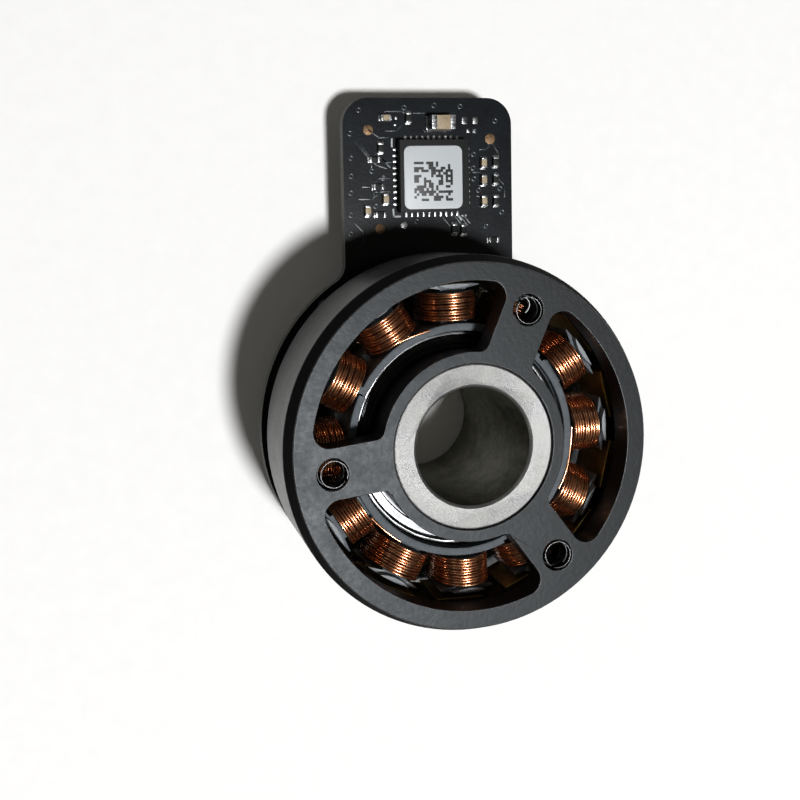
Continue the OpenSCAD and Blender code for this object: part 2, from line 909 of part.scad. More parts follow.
module chip_resistors() {
    color([0.12, 0.12, 0.13]) small_parts(resistor_shares, resistor_h);
}

// Position sensors stand under the magnets
sensor_start = 210;
sensor_step = 20;

module position_sensors() {
    color([0.1, 0.1, 0.1]) for (i = [0 : 2]) rotate([0, 0, sensor_start + i * sensor_step]) {
        translate([magnet_r, 0, board_top]) block(sensor_w, sensor_l, sensor_h);
    }
}

// Connector with an open slot, behind the tab
plug_share = 0.3;
plug_floor = 0.2;

module rear_connector() {
    color([0.15, 0.14, 0.13]) {
        translate([tab_shift, tab_root + plug_share * tab_free, board_z - plug_h]) difference() {
            block(plug_l, plug_w, plug_h);
            translate([0, 0, -plug_floor]) {
                block(plug_l - 2 * plug_wall, plug_w - 2 * plug_wall, plug_h);
            }
        }
    }
}

drive_w = 0.35;
drive_depth = 0.35;

module board_screws() {
    color([0.3, 0.3, 0.32]) at_circle(3, screw_r, 30) {
        translate([0, 0, board_top]) difference() {
            union() {
                cylinder(d = screw_head_d, h = screw_head_h);
                translate([0, 0, -screw_l]) cylinder(d = screw_d, h = screw_l + over / 4);
            }
            for (r = [0, 90]) rotate([0, 0, r]) {
                translate([0, 0, screw_head_h - drive_depth]) {
                    block(0.7 * screw_head_d, drive_w, drive_depth + over);
                }
            }
        }
    }
}

bell();
flux_ring();
rotor_magnets();
thread_inserts();
hollow_shaft();
inner_race(front_bearing_z);  // front_inner_race
inner_race(rear_bearing_z);  // rear_inner_race
wave_washer();
retaining_ring();
ball_set(front_bearing_z);  // front_balls
ball_cage(front_bearing_z);  // front_ball_cage
ball_set(rear_bearing_z);  // rear_balls
ball_cage(rear_bearing_z);  // rear_ball_cage
stator_base();
outer_race(front_bearing_z);  // front_outer_race
outer_race(rear_bearing_z);  // rear_outer_race
shields(front_bearing_z);  // front_shields
shields(rear_bearing_z);  // rear_shields
stator_core();
front_end_insulator();
end_insulator(seat_z);  // rear_end_insulator
phase_coils(0);  // phase_a_coils
phase_coils(1);  // phase_b_coils
phase_coils(2);  // phase_c_coils
phase_turns(0);  // phase_a_turns
phase_turns(1);  // phase_b_turns
phase_turns(2);  // phase_c_turns
phase_leads();
circuit_board();
controller_chip();
chip_label();
supply_capacitor();
small_capacitors();
chip_resistors();
position_sensors();
rear_connector();
board_screws();
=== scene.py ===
"""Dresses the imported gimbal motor: bell, coils, thread inserts, drive board, light and camera."""

import math

import bmesh
import bpy
import numpy as np
from mathutils import Euler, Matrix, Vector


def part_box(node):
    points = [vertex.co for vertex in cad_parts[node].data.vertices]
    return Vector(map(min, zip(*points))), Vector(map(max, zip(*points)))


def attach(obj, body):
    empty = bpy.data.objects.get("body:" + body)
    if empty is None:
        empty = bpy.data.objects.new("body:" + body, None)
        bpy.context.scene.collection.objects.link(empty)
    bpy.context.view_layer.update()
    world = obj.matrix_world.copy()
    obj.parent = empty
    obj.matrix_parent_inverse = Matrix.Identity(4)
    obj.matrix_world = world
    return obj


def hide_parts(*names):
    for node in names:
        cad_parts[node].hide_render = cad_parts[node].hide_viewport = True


bl_info = {
    "name": "Gimbal Motor Dressing",
    "version": (1, 0, 0),
    "blender": (4, 5, 0),
    "location": "3D View > Sidebar > Motor",
    "description": "Finishes, windings and board detail of a hollow-shaft gimbal motor",
    "category": "Object",
}

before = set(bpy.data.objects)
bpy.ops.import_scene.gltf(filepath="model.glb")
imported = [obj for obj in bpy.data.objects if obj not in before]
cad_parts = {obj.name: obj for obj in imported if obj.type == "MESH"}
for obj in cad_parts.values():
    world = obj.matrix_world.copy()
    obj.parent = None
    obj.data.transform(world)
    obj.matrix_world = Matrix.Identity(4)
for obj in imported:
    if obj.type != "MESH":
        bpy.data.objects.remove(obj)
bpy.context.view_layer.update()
MM = 0.001

# Heights, radii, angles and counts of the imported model, in millimetres and degrees
SLOTS = 12
FIRST_TOOTH = 2.0
FACE_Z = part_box("bell")[1].z / MM
SHOULDER_R = 13.8
SHAFT_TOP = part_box("hollow_shaft")[1].z / MM
BORE_R = 4.5
COAT_T = 0.2
COAT_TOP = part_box("stator_core")[1].z / MM + COAT_T
WALL_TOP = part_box("front_end_insulator")[1].z / MM + 0.02
CORE_MID = (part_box("stator_core")[0].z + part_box("stator_core")[1].z) / 2 / MM
BOARD_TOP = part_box("circuit_board")[1].z / MM
MAGNETS = 14
MAGNET_ANGLE = 12.5
MAGNET_R = 12.6
MAGNET_W = 3.9
HOLE_ANGLE = 66.7
HOLE_R = 11.0


# Settings that a user would change

class WindingSettings(bpy.types.PropertyGroup):
    """Sizes and colours of the coils."""
    wire_d: bpy.props.FloatProperty(
        name="Wire diameter", description="Diameter of the enamelled wire",
        default=0.215 * MM, min=0.1 * MM, max=0.3 * MM, unit="LENGTH", precision=5)
    turns: bpy.props.IntProperty(
        name="Turns in a layer", description="Wires side by side in a coil's outer layer",
        default=10, min=6, max=20)
    crown: bpy.props.FloatProperty(
        name="Squareness", description="Exponent of a loop's outline; 2 is an ellipse",
        default=2.3, min=2.0, max=8.0)
    stray: bpy.props.FloatProperty(
        name="Stray", description="How far a wire wanders from its even place",
        default=0.035 * MM, min=0.0, max=0.1 * MM, unit="LENGTH", precision=5)
    copper: bpy.props.StringProperty(
        name="Copper", description="Colour of the enamelled copper, as sRGB hex", default="#f0b88c")
    shade: bpy.props.StringProperty(
        name="Shaded copper", description="Colour of the copper's darker stretches, as sRGB hex",
        default="#b8744e")


class BellSettings(bpy.types.PropertyGroup):
    """Edges and colours of the turning parts."""
    edge: bpy.props.FloatProperty(
        name="Edge radius", description="Width of the broken edges of the bell",
        default=0.07 * MM, min=0.01 * MM, max=0.2 * MM, unit="LENGTH", precision=5)
    black: bpy.props.StringProperty(
        name="Anodising", description="Colour of the black anodised bell, as sRGB hex",
        default="#07080a")
    worn: bpy.props.StringProperty(
        name="Worn edge", description="Colour of the bell's rubbed edges, as sRGB hex",
        default="#4a4c4e")
    steel: bpy.props.StringProperty(
        name="Shaft", description="Colour of the blasted shaft, as sRGB hex", default="#93938f")


class BoardSettings(bpy.types.PropertyGroup):
    """Sizes and colours of the circuit board's detail."""
    mask: bpy.props.StringProperty(
        name="Solder mask", description="Colour of the board's solder mask, as sRGB hex",
        default="#06090e")
    label: bpy.props.StringProperty(
        name="Label", description="Colour of the label's stock, as sRGB hex", default="#c0c5c9")
    trace_w: bpy.props.FloatProperty(
        name="Trace width", description="Width of a raised trace under the mask",
        default=0.13 * MM, min=0.05 * MM, max=0.3 * MM, unit="LENGTH", precision=5)


class StageSettings(bpy.types.PropertyGroup):
    """Camera and light."""
    camera_place: bpy.props.FloatVectorProperty(
        name="Camera place", description="Where the camera stands",
        default=(-26.981 * MM, 16.524 * MM, 82.974 * MM), size=3, subtype="TRANSLATION",
        precision=5)
    camera_turn: bpy.props.FloatVectorProperty(
        name="Camera turn", description="The camera's XYZ Euler angles",
        default=(math.radians(-3.6587), math.radians(-11.6404), math.radians(-1.4308)),
        size=3, subtype="EULER", precision=4)
    lens: bpy.props.FloatProperty(
        name="Lens", description="Focal length on a 36 mm wide sensor, in millimetres",
        default=44.3756, min=10)
    shift: bpy.props.FloatVectorProperty(
        name="Shift", description="Shift of the frame, as shares of its width",
        default=(0.12368, -0.12817), size=2, precision=5)
    key_power: bpy.props.FloatProperty(
        name="Key", description="Power of the key lamp above the lower right, in watts",
        default=4.82, min=0)
    fill_power: bpy.props.FloatProperty(
        name="Fill", description="Power of the weak lamp above the upper left, in watts",
        default=0.1, min=0)
    zenith: bpy.props.FloatProperty(
        name="Sky overhead", description="Brightness of the room's light straight overhead",
        default=0.07, min=0)
    floor_lift: bpy.props.FloatProperty(
        name="Floor lift", description="How much the floor near the motor is lifted to white",
        default=0.006, min=0)
    room: bpy.props.StringProperty(
        name="Room", description="Colour of the room's light, as sRGB hex", default="#fff6e6")
    horizon: bpy.props.FloatProperty(
        name="Sky at the sides", description="Brightness of the room's light from the sides",
        default=0.04, min=0)


# Colours, nodes and materials

# Where the colours of a surface's ramp stand on a noise, and on a blend of two noises
NOISE_ENDS = (0.3, 0.7)
BLEND_ENDS = (0.32, 0.68)
# The rings of a wave texture at scale 1 are this far apart
WAVE_PITCH = math.pi / 10


def linear(colour):
    """Turns an sRGB hex string into the linear RGBA that a socket takes."""
    values = (int(colour[i:i + 2], 16) / 255 for i in (1, 3, 5))
    return tuple(v / 12.92 if v <= 0.04045 else ((v + 0.055) / 1.055) ** 2.4
                 for v in values) + (1.0,)


def add_node(tree, kind, inputs=None, **settings):
    """Adds one node, sets its properties, and sets or links its inputs by name or number."""
    made = tree.nodes.new(kind)
    for name, value in settings.items():
        setattr(made, name, value)
    for name, value in (inputs or {}).items():
        if isinstance(value, bpy.types.NodeSocket):
            tree.links.new(value, made.inputs[name])
        else:
            made.inputs[name].default_value = value
    return made


def calculate(tree, operation, a, b):
    """Gives the result of a Math node on a and b."""
    return add_node(tree, "ShaderNodeMath", {0: a, 1: b}, operation=operation).outputs[0]


def map_range(tree, value, source, target, curve="LINEAR"):
    """Gives value carried from the source range to the target range."""
    return add_node(tree, "ShaderNodeMapRange", {
        "Value": value, "From Min": source[0], "From Max": source[1],
        "To Min": target[0], "To Max": target[1]}, interpolation_type=curve).outputs["Result"]


def ramp(tree, factor, colours, ends=NOISE_ENDS):
    """Colour ramp over factor, from the first hex colour to the second between two places."""
    made = add_node(tree, "ShaderNodeValToRGB", {"Fac": factor})
    for element, place, colour in zip(made.color_ramp.elements, ends, colours):
        element.position = place
        element.color = linear(colour)
    return made.outputs["Color"]


def noise(tree, place, size_mm, detail=3.0, roughness=0.5):
    """Gives a noise whose features are about size_mm wide."""
    return add_node(tree, "ShaderNodeTexNoise", {
        "Vector": place, "Scale": 1 / (size_mm * MM), "Detail": detail,
        "Roughness": roughness}).outputs["Fac"]


def rings(tree, place, pitch_mm, distortion, detail):
    """Gives a wave in rings round the motor's axis, pitch_mm apart."""
    return add_node(tree, "ShaderNodeTexWave", {
        "Vector": place, "Scale": WAVE_PITCH / (pitch_mm * MM), "Distortion": distortion,
        "Detail": detail}, wave_type="RINGS", rings_direction="Z").outputs["Fac"]


def mixed(tree, share, a, b):
    """Gives the blend of the values a and b, with this share of b."""
    return add_node(tree, "ShaderNodeMix", {"Factor": share, "A": a, "B": b},
                    data_type="FLOAT").outputs["Result"]


def relief(tree, height, depth_mm, strength=1.0, **under):
    """Gives the normal of a height that runs from 0 to depth_mm, over the Normal under it."""
    return add_node(tree, "ShaderNodeBump", {
        "Height": height, "Distance": depth_mm * MM, "Strength": strength,
        **under}).outputs["Normal"]


def start_surface(name, **sockets):
    """Makes a material with one Principled shader whose plain sockets are set.

    Gives the material, its tree, the shader and the place in object coordinates."""
    material = bpy.data.materials.new(name)
    material.use_nodes = True
    tree = material.node_tree
    shader = tree.nodes["Principled BSDF"]
    for socket, value in sockets.items():
        shader.inputs[socket.replace("_", " ")].default_value = value
    place = add_node(tree, "ShaderNodeTexCoord").outputs["Object"]
    return material, tree, shader, place


def feed(tree, shader, **outputs):
    """Links each output to the shader's socket of that name."""
    for socket, output in outputs.items():
        tree.links.new(output, shader.inputs[socket.replace("_", " ")])


def grain_surface(name, colours, grain_mm, depth_mm, rough, blotch_mm=4.0, rough_spread=0.08,
                  tool_marks=None, **sockets):
    """A surface of one stuff whose colour drifts in blotches and whose relief is a fine grain.

    The grain is noise of grain_mm, raised depth_mm. The roughness drifts by rough_spread with
    the blotches. tool_marks is the pitch and depth in millimetres of rings round the axis."""
    material, tree, shader, place = start_surface(name, Roughness=rough, **sockets)
    fine = noise(tree, place, grain_mm, roughness=0.65)
    blend = mixed(tree, 0.45, noise(tree, place, blotch_mm, 4.0, 0.6), fine)
    normal = relief(tree, fine, depth_mm)
    if tool_marks:
        pitch, depth = tool_marks
        normal = relief(tree, rings(tree, place, pitch, 0.3, 2.0), depth, Normal=normal)
    feed(tree, shader, Base_Color=ramp(tree, blend, colours, BLEND_ENDS), Normal=normal,
         Roughness=map_range(tree, blend, NOISE_ENDS, (rough - rough_spread, rough + rough_spread)))
    return material


def turned_surface(name, colours, rough, pitch_mm):
    """Turned or ground metal: rings round the motor's axis.

    Real tool marks are finer than a pixel, so they are drawn pitch_mm apart to show at all."""
    material, tree, shader, place = start_surface(name, Roughness=rough, Metallic=1.0)
    marks = rings(tree, place, pitch_mm, 0.4, 3.0)
    feed(tree, shader, Base_Color=ramp(tree, noise(tree, place, 2.5, 5.0), colours),
         Normal=relief(tree, marks, 0.0006, 0.5),
         Roughness=map_range(tree, marks, (0.0, 1.0), (rough - 0.06, rough + 0.08)))
    return material


def enamelled_wire(name, colours, rough=0.27, coat=1.0):
    """Copper wire drawn smooth, under a clear amber enamel: an orange metal with a glossy coat."""
    material, tree, shader, place = start_surface(
        name, Metallic=1.0, Roughness=rough, Coat_Weight=coat, Coat_Roughness=0.15)
    feed(tree, shader, Base_Color=ramp(tree, noise(tree, place, 0.5), colours))
    return material


def solder_mask(colour):
    """Dark blue-black solder mask over glass cloth: a soft gloss over weave and copper fills."""
    material, tree, shader, place = start_surface(
        "solder_mask", Roughness=0.25, Specular_IOR_Level=0.36)
    fills = add_node(tree, "ShaderNodeTexVoronoi", {
        "Vector": place, "Scale": 1 / (1.6 * MM), "Randomness": 1.0}, distance="CHEBYCHEV")
    blend = mixed(tree, 0.6, fills.outputs["Distance"], noise(tree, place, 0.22, 4.0))
    feed(tree, shader, Base_Color=ramp(tree, blend, (colour, "#10161c"), (0.3, 0.62)),
         Normal=relief(tree, blend, 0.02, 0.5))
    return material


def printed_label(colour):
    """Satin label stock with a field of plain square cells, each black or bare by a noise.

    The cells follow the label's own UV map, which runs from 0 to 1 over it, and hold no code."""
    cells_across, black_share, ink = 24.0, 0.52, "#0e0f10"
    material, tree, shader, _ = start_surface("printed_label", Roughness=0.45)
    uv = add_node(tree, "ShaderNodeUVMap", uv_map="label").outputs["UV"]
    cells = add_node(tree, "ShaderNodeVectorMath", {0: uv, 1: (cells_across, cells_across, 1.0)},
                     operation="MULTIPLY")
    index = add_node(tree, "ShaderNodeVectorMath", {0: cells.outputs["Vector"]}, operation="FLOOR")
    chance = add_node(tree, "ShaderNodeTexWhiteNoise", {"Vector": index.outputs["Vector"]},
                      noise_dimensions="2D")
    split = add_node(tree, "ShaderNodeSeparateXYZ", {"Vector": index.outputs["Vector"]})
    inked = calculate(tree, "LESS_THAN", chance.outputs["Value"], black_share)
    for axis, low, high in (("X", 3.5, 19.5), ("Y", 2.5, 17.5)):
        for operation, edge in (("GREATER_THAN", low), ("LESS_THAN", high)):
            inside = calculate(tree, operation, split.outputs[axis], edge)
            inked = calculate(tree, "MULTIPLY", inked, inside)
    feed(tree, shader, Base_Color=ramp(tree, inked, (colour, ink), (0.0, 1.0)))
    return material


FINISHES = {}


def finish(name):
    """Gives the material of that name, made once."""
    if name in FINISHES:
        return FINISHES[name]
    scene = bpy.context.scene
    bell, coils, board = scene.motor_bell, scene.motor_windings, scene.motor_board

    def grain(*values, **sockets):
        return lambda: grain_surface(name, *values, **sockets)

    makers = {
        # Dyed oxide on blasted aluminium: dull charcoal with a fine sparkle
        "black_anodised_aluminium": grain(
            (bell.black, "#16181a"), 0.4, 0.014, 0.44, blotch_mm=1.5, rough_spread=0.07,
            Specular_IOR_Level=0.29, Specular_Tint=(0.9, 0.96, 1.0, 1.0)),
        # The same, rubbed through to the metal in places
        "worn_anodising": grain(
            (bell.black, bell.worn), 0.3, 0.003, 0.36, blotch_mm=1.2, Metallic=0.4),
        # The bell's shoulder, painted dead black and without sheen: painted shade for the dark room
        # that the shoulder mirrors
        "shoulder_painted_shade": grain(("#040405", "#09090a"), 0.2, 0.004, 0.7, Specular_IOR_Level=0.03),
        # Black oxide on a rolled steel ring: darker and smoother than the bell
        "blackened_steel": grain(("#0d0e0f", "#17181a"), 0.25, 0.003, 0.36),
        # Nickel plate on sintered magnets: smooth, painted a light olive gold as painted light, for
        # the copper's reflected light and the lamp light that their shaded faces miss
        "nickel_painted_copper_light": grain(
            ("#ad9150", "#d9bd78"), 1.2, 0.004, 0.4, blotch_mm=5.0, rough_spread=0.03,
            Metallic=1.0),
        # Steel shaft, blasted with fine glass beads, a little stained
        "blasted_steel": grain(
            ("#6f6f72", bell.steel), 0.15, 0.016, 0.42, blotch_mm=1.6, tool_marks=(0.07, 0.006),
            Metallic=0.85),
        # The shaft's bore, reamed: the shaft's steel painted darker and dull olive grey as painted
        # shade inside the bore
        "bore_steel_painted_shade": grain(
            ("#3c3c34", "#8a897c"), 0.35, 0.012, 0.5, blotch_mm=1.3, Metallic=0.8),
        # Bearing steel, ground: grey with soft bands of light
        "ground_steel": lambda: turned_surface(name, ("#4a4b4d", "#6e6f71"), 0.3, 0.49348),
        # Aluminium as turned: a shade lighter than the bearings
        "turned_aluminium": lambda: turned_surface(
            name, ("#5a5b5c", "#7d7e7e"), 0.32, 0.59218),
        # Thread insert of stainless wire, painted dark as painted shade in its deep hole, and a
        # thin bright ring of painted highlight near its top
        "insert_wire_painted_shade": grain(
            ("#1b1c1d", "#3c3d3e"), 0.3, 0.003, 0.35, blotch_mm=0.8, Metallic=1.0),
        # Bright wire: the tang's own colour, and painted highlight on the thin rings
        "wire_and_painted_highlight": grain(
            ("#606162", "#a4a5a6"), 0.3, 0.003, 0.42, blotch_mm=0.4, Metallic=1.0),
        # Spring steel, blued in tempering: dark grey
        "spring_steel": grain(("#3a3b3d", "#5a5c60"), 0.2, 0.003, 0.3, Metallic=0.9),
        # Powder coat fused onto the laminations: blue-grey, lumpy
        "powder_coat": grain(
            ("#444a4f", "#666c72"), 0.16, 0.035, 0.6, blotch_mm=0.9, Specular_IOR_Level=0.25),
        # The same coat on the tooth tips, painted paler as painted light, and smoother
        "tip_coat_painted_light": grain(("#5c6268", "#8c9194"), 0.3, 0.015, 0.5, blotch_mm=0.9),
        # Copper under enamel on the coils' outer layer, and the layer below painted darker and
        # duller as painted shade
        "enamelled_copper": lambda: enamelled_wire(name, (coils.shade, coils.copper)),
        "inner_copper_painted_shade": lambda: enamelled_wire(name, ("#6e3a24", "#96583a"), 0.4, 0.2),
        # Two-part epoxy between the magnets: black, wet-looking
        "black_epoxy": grain(("#070707", "#0d0d0d"), 0.5, 0.01, 0.35),
        # Natural nylon, browned by oil
        "nylon_cage": grain(("#4a3b29", "#5e4c36"), 0.4, 0.01, 0.5),
        "solder_mask": lambda: solder_mask(board.mask),
        # Sawn glass cloth and resin at the board's rim: matt, dull olive
        "fibreglass_edge": grain(("#1e1f1b", "#403f35"), 0.12, 0.02, 0.6, blotch_mm=0.6),
        # Mask drawn thin over a copper trace: a little lighter than the rest
        "raised_trace": grain(("#171d22", "#2c353c"), 0.3, 0.006, 0.28, blotch_mm=1.0),
        # Reflowed tin solder: bright, uneven
        "tinned_solder": grain(
            ("#7d8082", "#cfd1d2"), 0.25, 0.02, 0.27, blotch_mm=0.5, Metallic=1.0),
        # Thin gold over nickel: brown gold, satin
        "gold_pad": grain(
            ("#4e3c29", "#846a50"), 0.2, 0.03, 0.45, blotch_mm=0.4, Metallic=0.8),
        # Moulded epoxy of chips and resistors: matt black with a fine tooth
        "moulded_epoxy": grain(
            ("#111213", "#1a1c1c"), 0.1, 0.008, 0.6, blotch_mm=1.0, Specular_IOR_Level=0.25),
        # Screened ink: matt pale grey
        "marking_ink": grain(("#9ea3a6", "#c4c9cc"), 0.2, 0.004, 0.6, blotch_mm=0.5),
        # Fired ceramic of the capacitors: tan, half matt
        "capacitor_ceramic": grain(("#8d7d63", "#b09f82"), 0.15, 0.006, 0.45, blotch_mm=0.6),
        "printed_label": lambda: printed_label(board.label),
        # Moulded black nylon, and screws in black oxide
        "connector_nylon": grain(("#1d1c1b", "#2a2927"), 0.25, 0.01, 0.5),
        "black_screw": grain(("#232426", "#3a3b3d"), 0.2, 0.004, 0.32, Metallic=0.8),
    }
    FINISHES[name] = makers[name]()
    return FINISHES[name]


# Shapes as numpy arrays: each gives its points in millimetres and its faces

UP = np.array([[0.0, 0.0, 1.0]])


def rays(a):
    """Unit vectors at the angles a in the XY plane: (cos a, sin a, 0)."""
    return np.stack([np.cos(a), np.sin(a), np.zeros_like(a)], -1)


def grid_quads(rows, cols, wrap_rows=False, wrap_cols=False):
    """Quads between neighbouring points of a rows by cols grid, closed round where it wraps."""
    r, c = np.meshgrid(np.arange(rows if wrap_rows else rows - 1),
                       np.arange(cols if wrap_cols else cols - 1), indexing="ij")
    r2, c2 = (r + 1) % rows, (c + 1) % cols
    quads = [r * cols + c, r * cols + c2, r2 * cols + c2, r2 * cols + c]
    return np.stack(quads, -1).reshape(-1, 4).tolist()


def closed_tube_faces(rows, cols):
    """Quads of rows of closed rings of cols points, with a face over the first and last ring."""
    return grid_quads(rows, cols, wrap_cols=True) + [
        list(range(cols)), list(range((rows - 1) * cols, rows * cols))]


def join(shapes):
    """Puts several (points, faces) shapes into one."""
    points, faces, start = [], [], 0
    for p, f in shapes:
        points.append(p)
        faces.extend([[i + start for i in face] for face in f])
        start += len(p)
    return np.concatenate(points), faces


def turned(shape, degrees, shift=(0, 0, 0)):
    """Turns a shape about Z by degrees and then moves it by shift."""
    a = math.radians(degrees)
    matrix = np.array([[math.cos(a), -math.sin(a), 0], [math.sin(a), math.cos(a), 0], [0, 0, 1]])
    return shape[0] @ matrix.T + np.array(shift), shape[1]


def placed(shape, x, y):
    """Moves a shape by x and y."""
    return shape[0] + np.array((x, y, 0)), shape[1]


def tube(path, normals, radius, sides=8):
    """A round tube: a circle round each point of path, in the plane of its normal and binormal."""
    tangents = np.gradient(path, axis=0)
    tangents /= np.linalg.norm(tangents, axis=1, keepdims=True)
    normals = normals - (normals * tangents).sum(1, keepdims=True) * tangents
    normals /= np.linalg.norm(normals, axis=1, keepdims=True)
    binormals = np.cross(tangents, normals)
    angle = np.linspace(0, 2 * math.pi, sides, endpoint=False)[None, :, None]
    ring = np.cos(angle) * normals[:, None] + np.sin(angle) * binormals[:, None]
    points = (path[:, None] + radius * ring).reshape(-1, 3)
    return points, closed_tube_faces(len(path), sides)


def rounded_block(length, width, height, corner, edge=0.02, low=BOARD_TOP, steps=4):
    """A block with rounded corners seen from above and a rounded top edge, standing at low.

    Each ring is the rectangle's outline with its corner arcs, taken in by the edge's quarter
    circle. Both radii are limited by what the block has room for."""
    corner = min(corner, length / 2 - 1e-4, width / 2 - 1e-4)
    edge = min(edge, corner * 0.9, height * 0.9)
    arc = np.linspace(0, math.pi / 2, steps)
    turn = np.concatenate([arc + q * math.pi / 2 for q in range(4)])
    side = np.repeat([[1, 1], [-1, 1], [-1, -1], [1, -1]], steps, axis=0)
    hub = side * np.array([length / 2 - corner, width / 2 - corner])
    fall = np.linspace(0, math.pi / 2, 4)
    inset = np.concatenate([[0], edge * (1 - np.cos(fall))])
    z = np.concatenate([[0], height - edge + edge * np.sin(fall)])
    flat = hub[None] + (corner - inset)[:, None, None] * rays(turn)[None, :, :2]
    z = np.broadcast_to(z[:, None, None] + low, flat.shape[:2] + (1,))
    points = np.concatenate([flat, z], -1)
    return points.reshape(-1, 3), closed_tube_faces(*points.shape[:2])


def disc(radius, height, edge):
    """A round pad on the board with a rounded rim."""
    return rounded_block(2 * radius, 2 * radius, height, radius, edge, steps=8)


def swept(profile, a):
    """Points of a profile of (radius, z) carried to each angle of a round the Z axis."""
    profile = np.array(profile, float)
    points = profile[None, :, :1] * rays(a)[:, None]
    points[..., 2] = profile[:, 1]
    return points.reshape(-1, 3)


def revolved(profile, steps=20):
    """Turns a closed profile of (radius, z) round the Z axis."""
    a = np.linspace(0, 2 * math.pi, steps, endpoint=False)
    return swept(profile, a), grid_quads(steps, len(profile), True, True)


def revolved_arcs(spans, profile, step=2.0):
    """Turns a closed profile of (radius, z) round Z over each span of (start, end) degrees."""
    shapes = []
    for start, end in spans:
        a = np.radians(np.linspace(start, end, int((end - start) / step) + 2))
        shapes.append((swept(profile, a), closed_tube_faces(len(a), len(profile))))
    return join(shapes)


def ribbon(line, width, height):
    """A raised line along (x, y) points of the board: one rounded block for each straight run."""
    line = np.array(line, float)
    blocks = []
    for a, b in zip(line[:-1], line[1:]):
        run = b - a
        block = rounded_block(np.hypot(*run) + width, width, height, width / 2, 0.01, steps=3)
        blocks.append(turned(block, math.degrees(math.atan2(run[1], run[0])), (*(a + b) / 2, 0)))
    return join(blocks)


# Meshes as pieces of the part

# An edge sharper than this is broken on a softened copy
BREAK_ANGLE = math.radians(40)


def add_piece(name, shape, material, body, replaces=()):
    """Makes the mesh object of a shape, points its faces outward and places it as a piece."""
    points, faces = shape
    mesh = bpy.data.meshes.new(name)
    mesh.from_pydata((points * MM).tolist(), [], faces)
    work = bmesh.new()
    work.from_mesh(mesh)
    bmesh.ops.recalc_face_normals(work, faces=work.faces)
    work.to_mesh(mesh)
    work.free()
    mesh.shade_smooth()
    mesh.set_sharp_from_angle(angle=math.radians(50))
    return place_piece(name, mesh, (material,), body, replaces)


def place_piece(name, mesh, materials, body, replaces=()):
    """Links a mesh as an object with its materials, body and the CAD nodes it replaces."""
    for material in materials:
        mesh.materials.append(finish(material))
    made = bpy.data.objects.new(name, mesh)
    bpy.context.scene.collection.objects.link(made)
    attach(made, body)
    if replaces:
        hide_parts(*replaces)
    return made


def softened_copy(node, body, materials, width, pick=None, edges=1):
    """A CAD node's own shape with its edges broken.

    The copy's loose triangles are merged and those in one plane joined, and a bevel rounds its
    sharp edges. pick chooses a face's material from its centre and normal. edges is the number
    of the bevel's own material, or -1 where an edge takes its neighbour's."""
    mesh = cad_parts[node].data.copy()
    mesh.materials.clear()
    work = bmesh.new()
    work.from_mesh(mesh)
    bmesh.ops.remove_doubles(work, verts=work.verts, dist=2e-7)
    bmesh.ops.dissolve_limit(work, angle_limit=math.radians(0.6), verts=work.verts,
                             edges=work.edges)
    for face in work.faces:
        face.material_index = pick(face.calc_center_median(), face.normal) if pick else 0
    work.to_mesh(mesh)
    work.free()
    mesh.shade_smooth()
    mesh.set_sharp_from_angle(angle=BREAK_ANGLE)
    made = place_piece(node + "_finished", mesh, materials, body, (node,))
    if width:
        bevel = made.modifiers.new("Broken edges", "BEVEL")
        bevel.width = width
        bevel.segments = 2
        bevel.limit_method = "ANGLE"
        bevel.angle_limit = BREAK_ANGLE
        bevel.use_clamp_overlap = True
        bevel.harden_normals = True
        bevel.material = min(edges, len(materials) - 1)


def middle(node):
    """Gives the middle of a CAD node's box in millimetres."""
    low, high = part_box(node)
    return (low + high) / 2 / MM


def dress_nodes(material, *nodes):
    """Gives CAD nodes that stay in view their finish."""
    for node in nodes:
        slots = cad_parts[node].data.materials
        slots.clear()
        slots.append(finish(material))


# The motor's pieces

class MOTOR_OT_finish_bell(bpy.types.Operator):
    """Bell of black anodised aluminium with rubbed edges, on a blackened steel ring"""
    bl_idname = "motor.finish_bell"
    bl_label = "Finish the bell"

    def execute(self, context):
        edge = context.scene.motor_bell.edge

        def bell_face(centre, normal):
            # The shoulder's slope lies outside the face ring, and is neither flat nor upright
            on_rim = math.hypot(centre.x, centre.y) > SHOULDER_R * MM
            return 2 if 0.3 < normal.z < 0.95 and on_rim else 0

        # The shoulder's faces take the dead black material of painted shade
        softened_copy("bell", "rotor",
                      ("black_anodised_aluminium", "worn_anodising", "shoulder_painted_shade"), edge,
                      pick=bell_face)
        softened_copy("flux_ring", "rotor",
                      ("blackened_steel", "worn_anodising"), edge / 2)
        return {"FINISHED"}


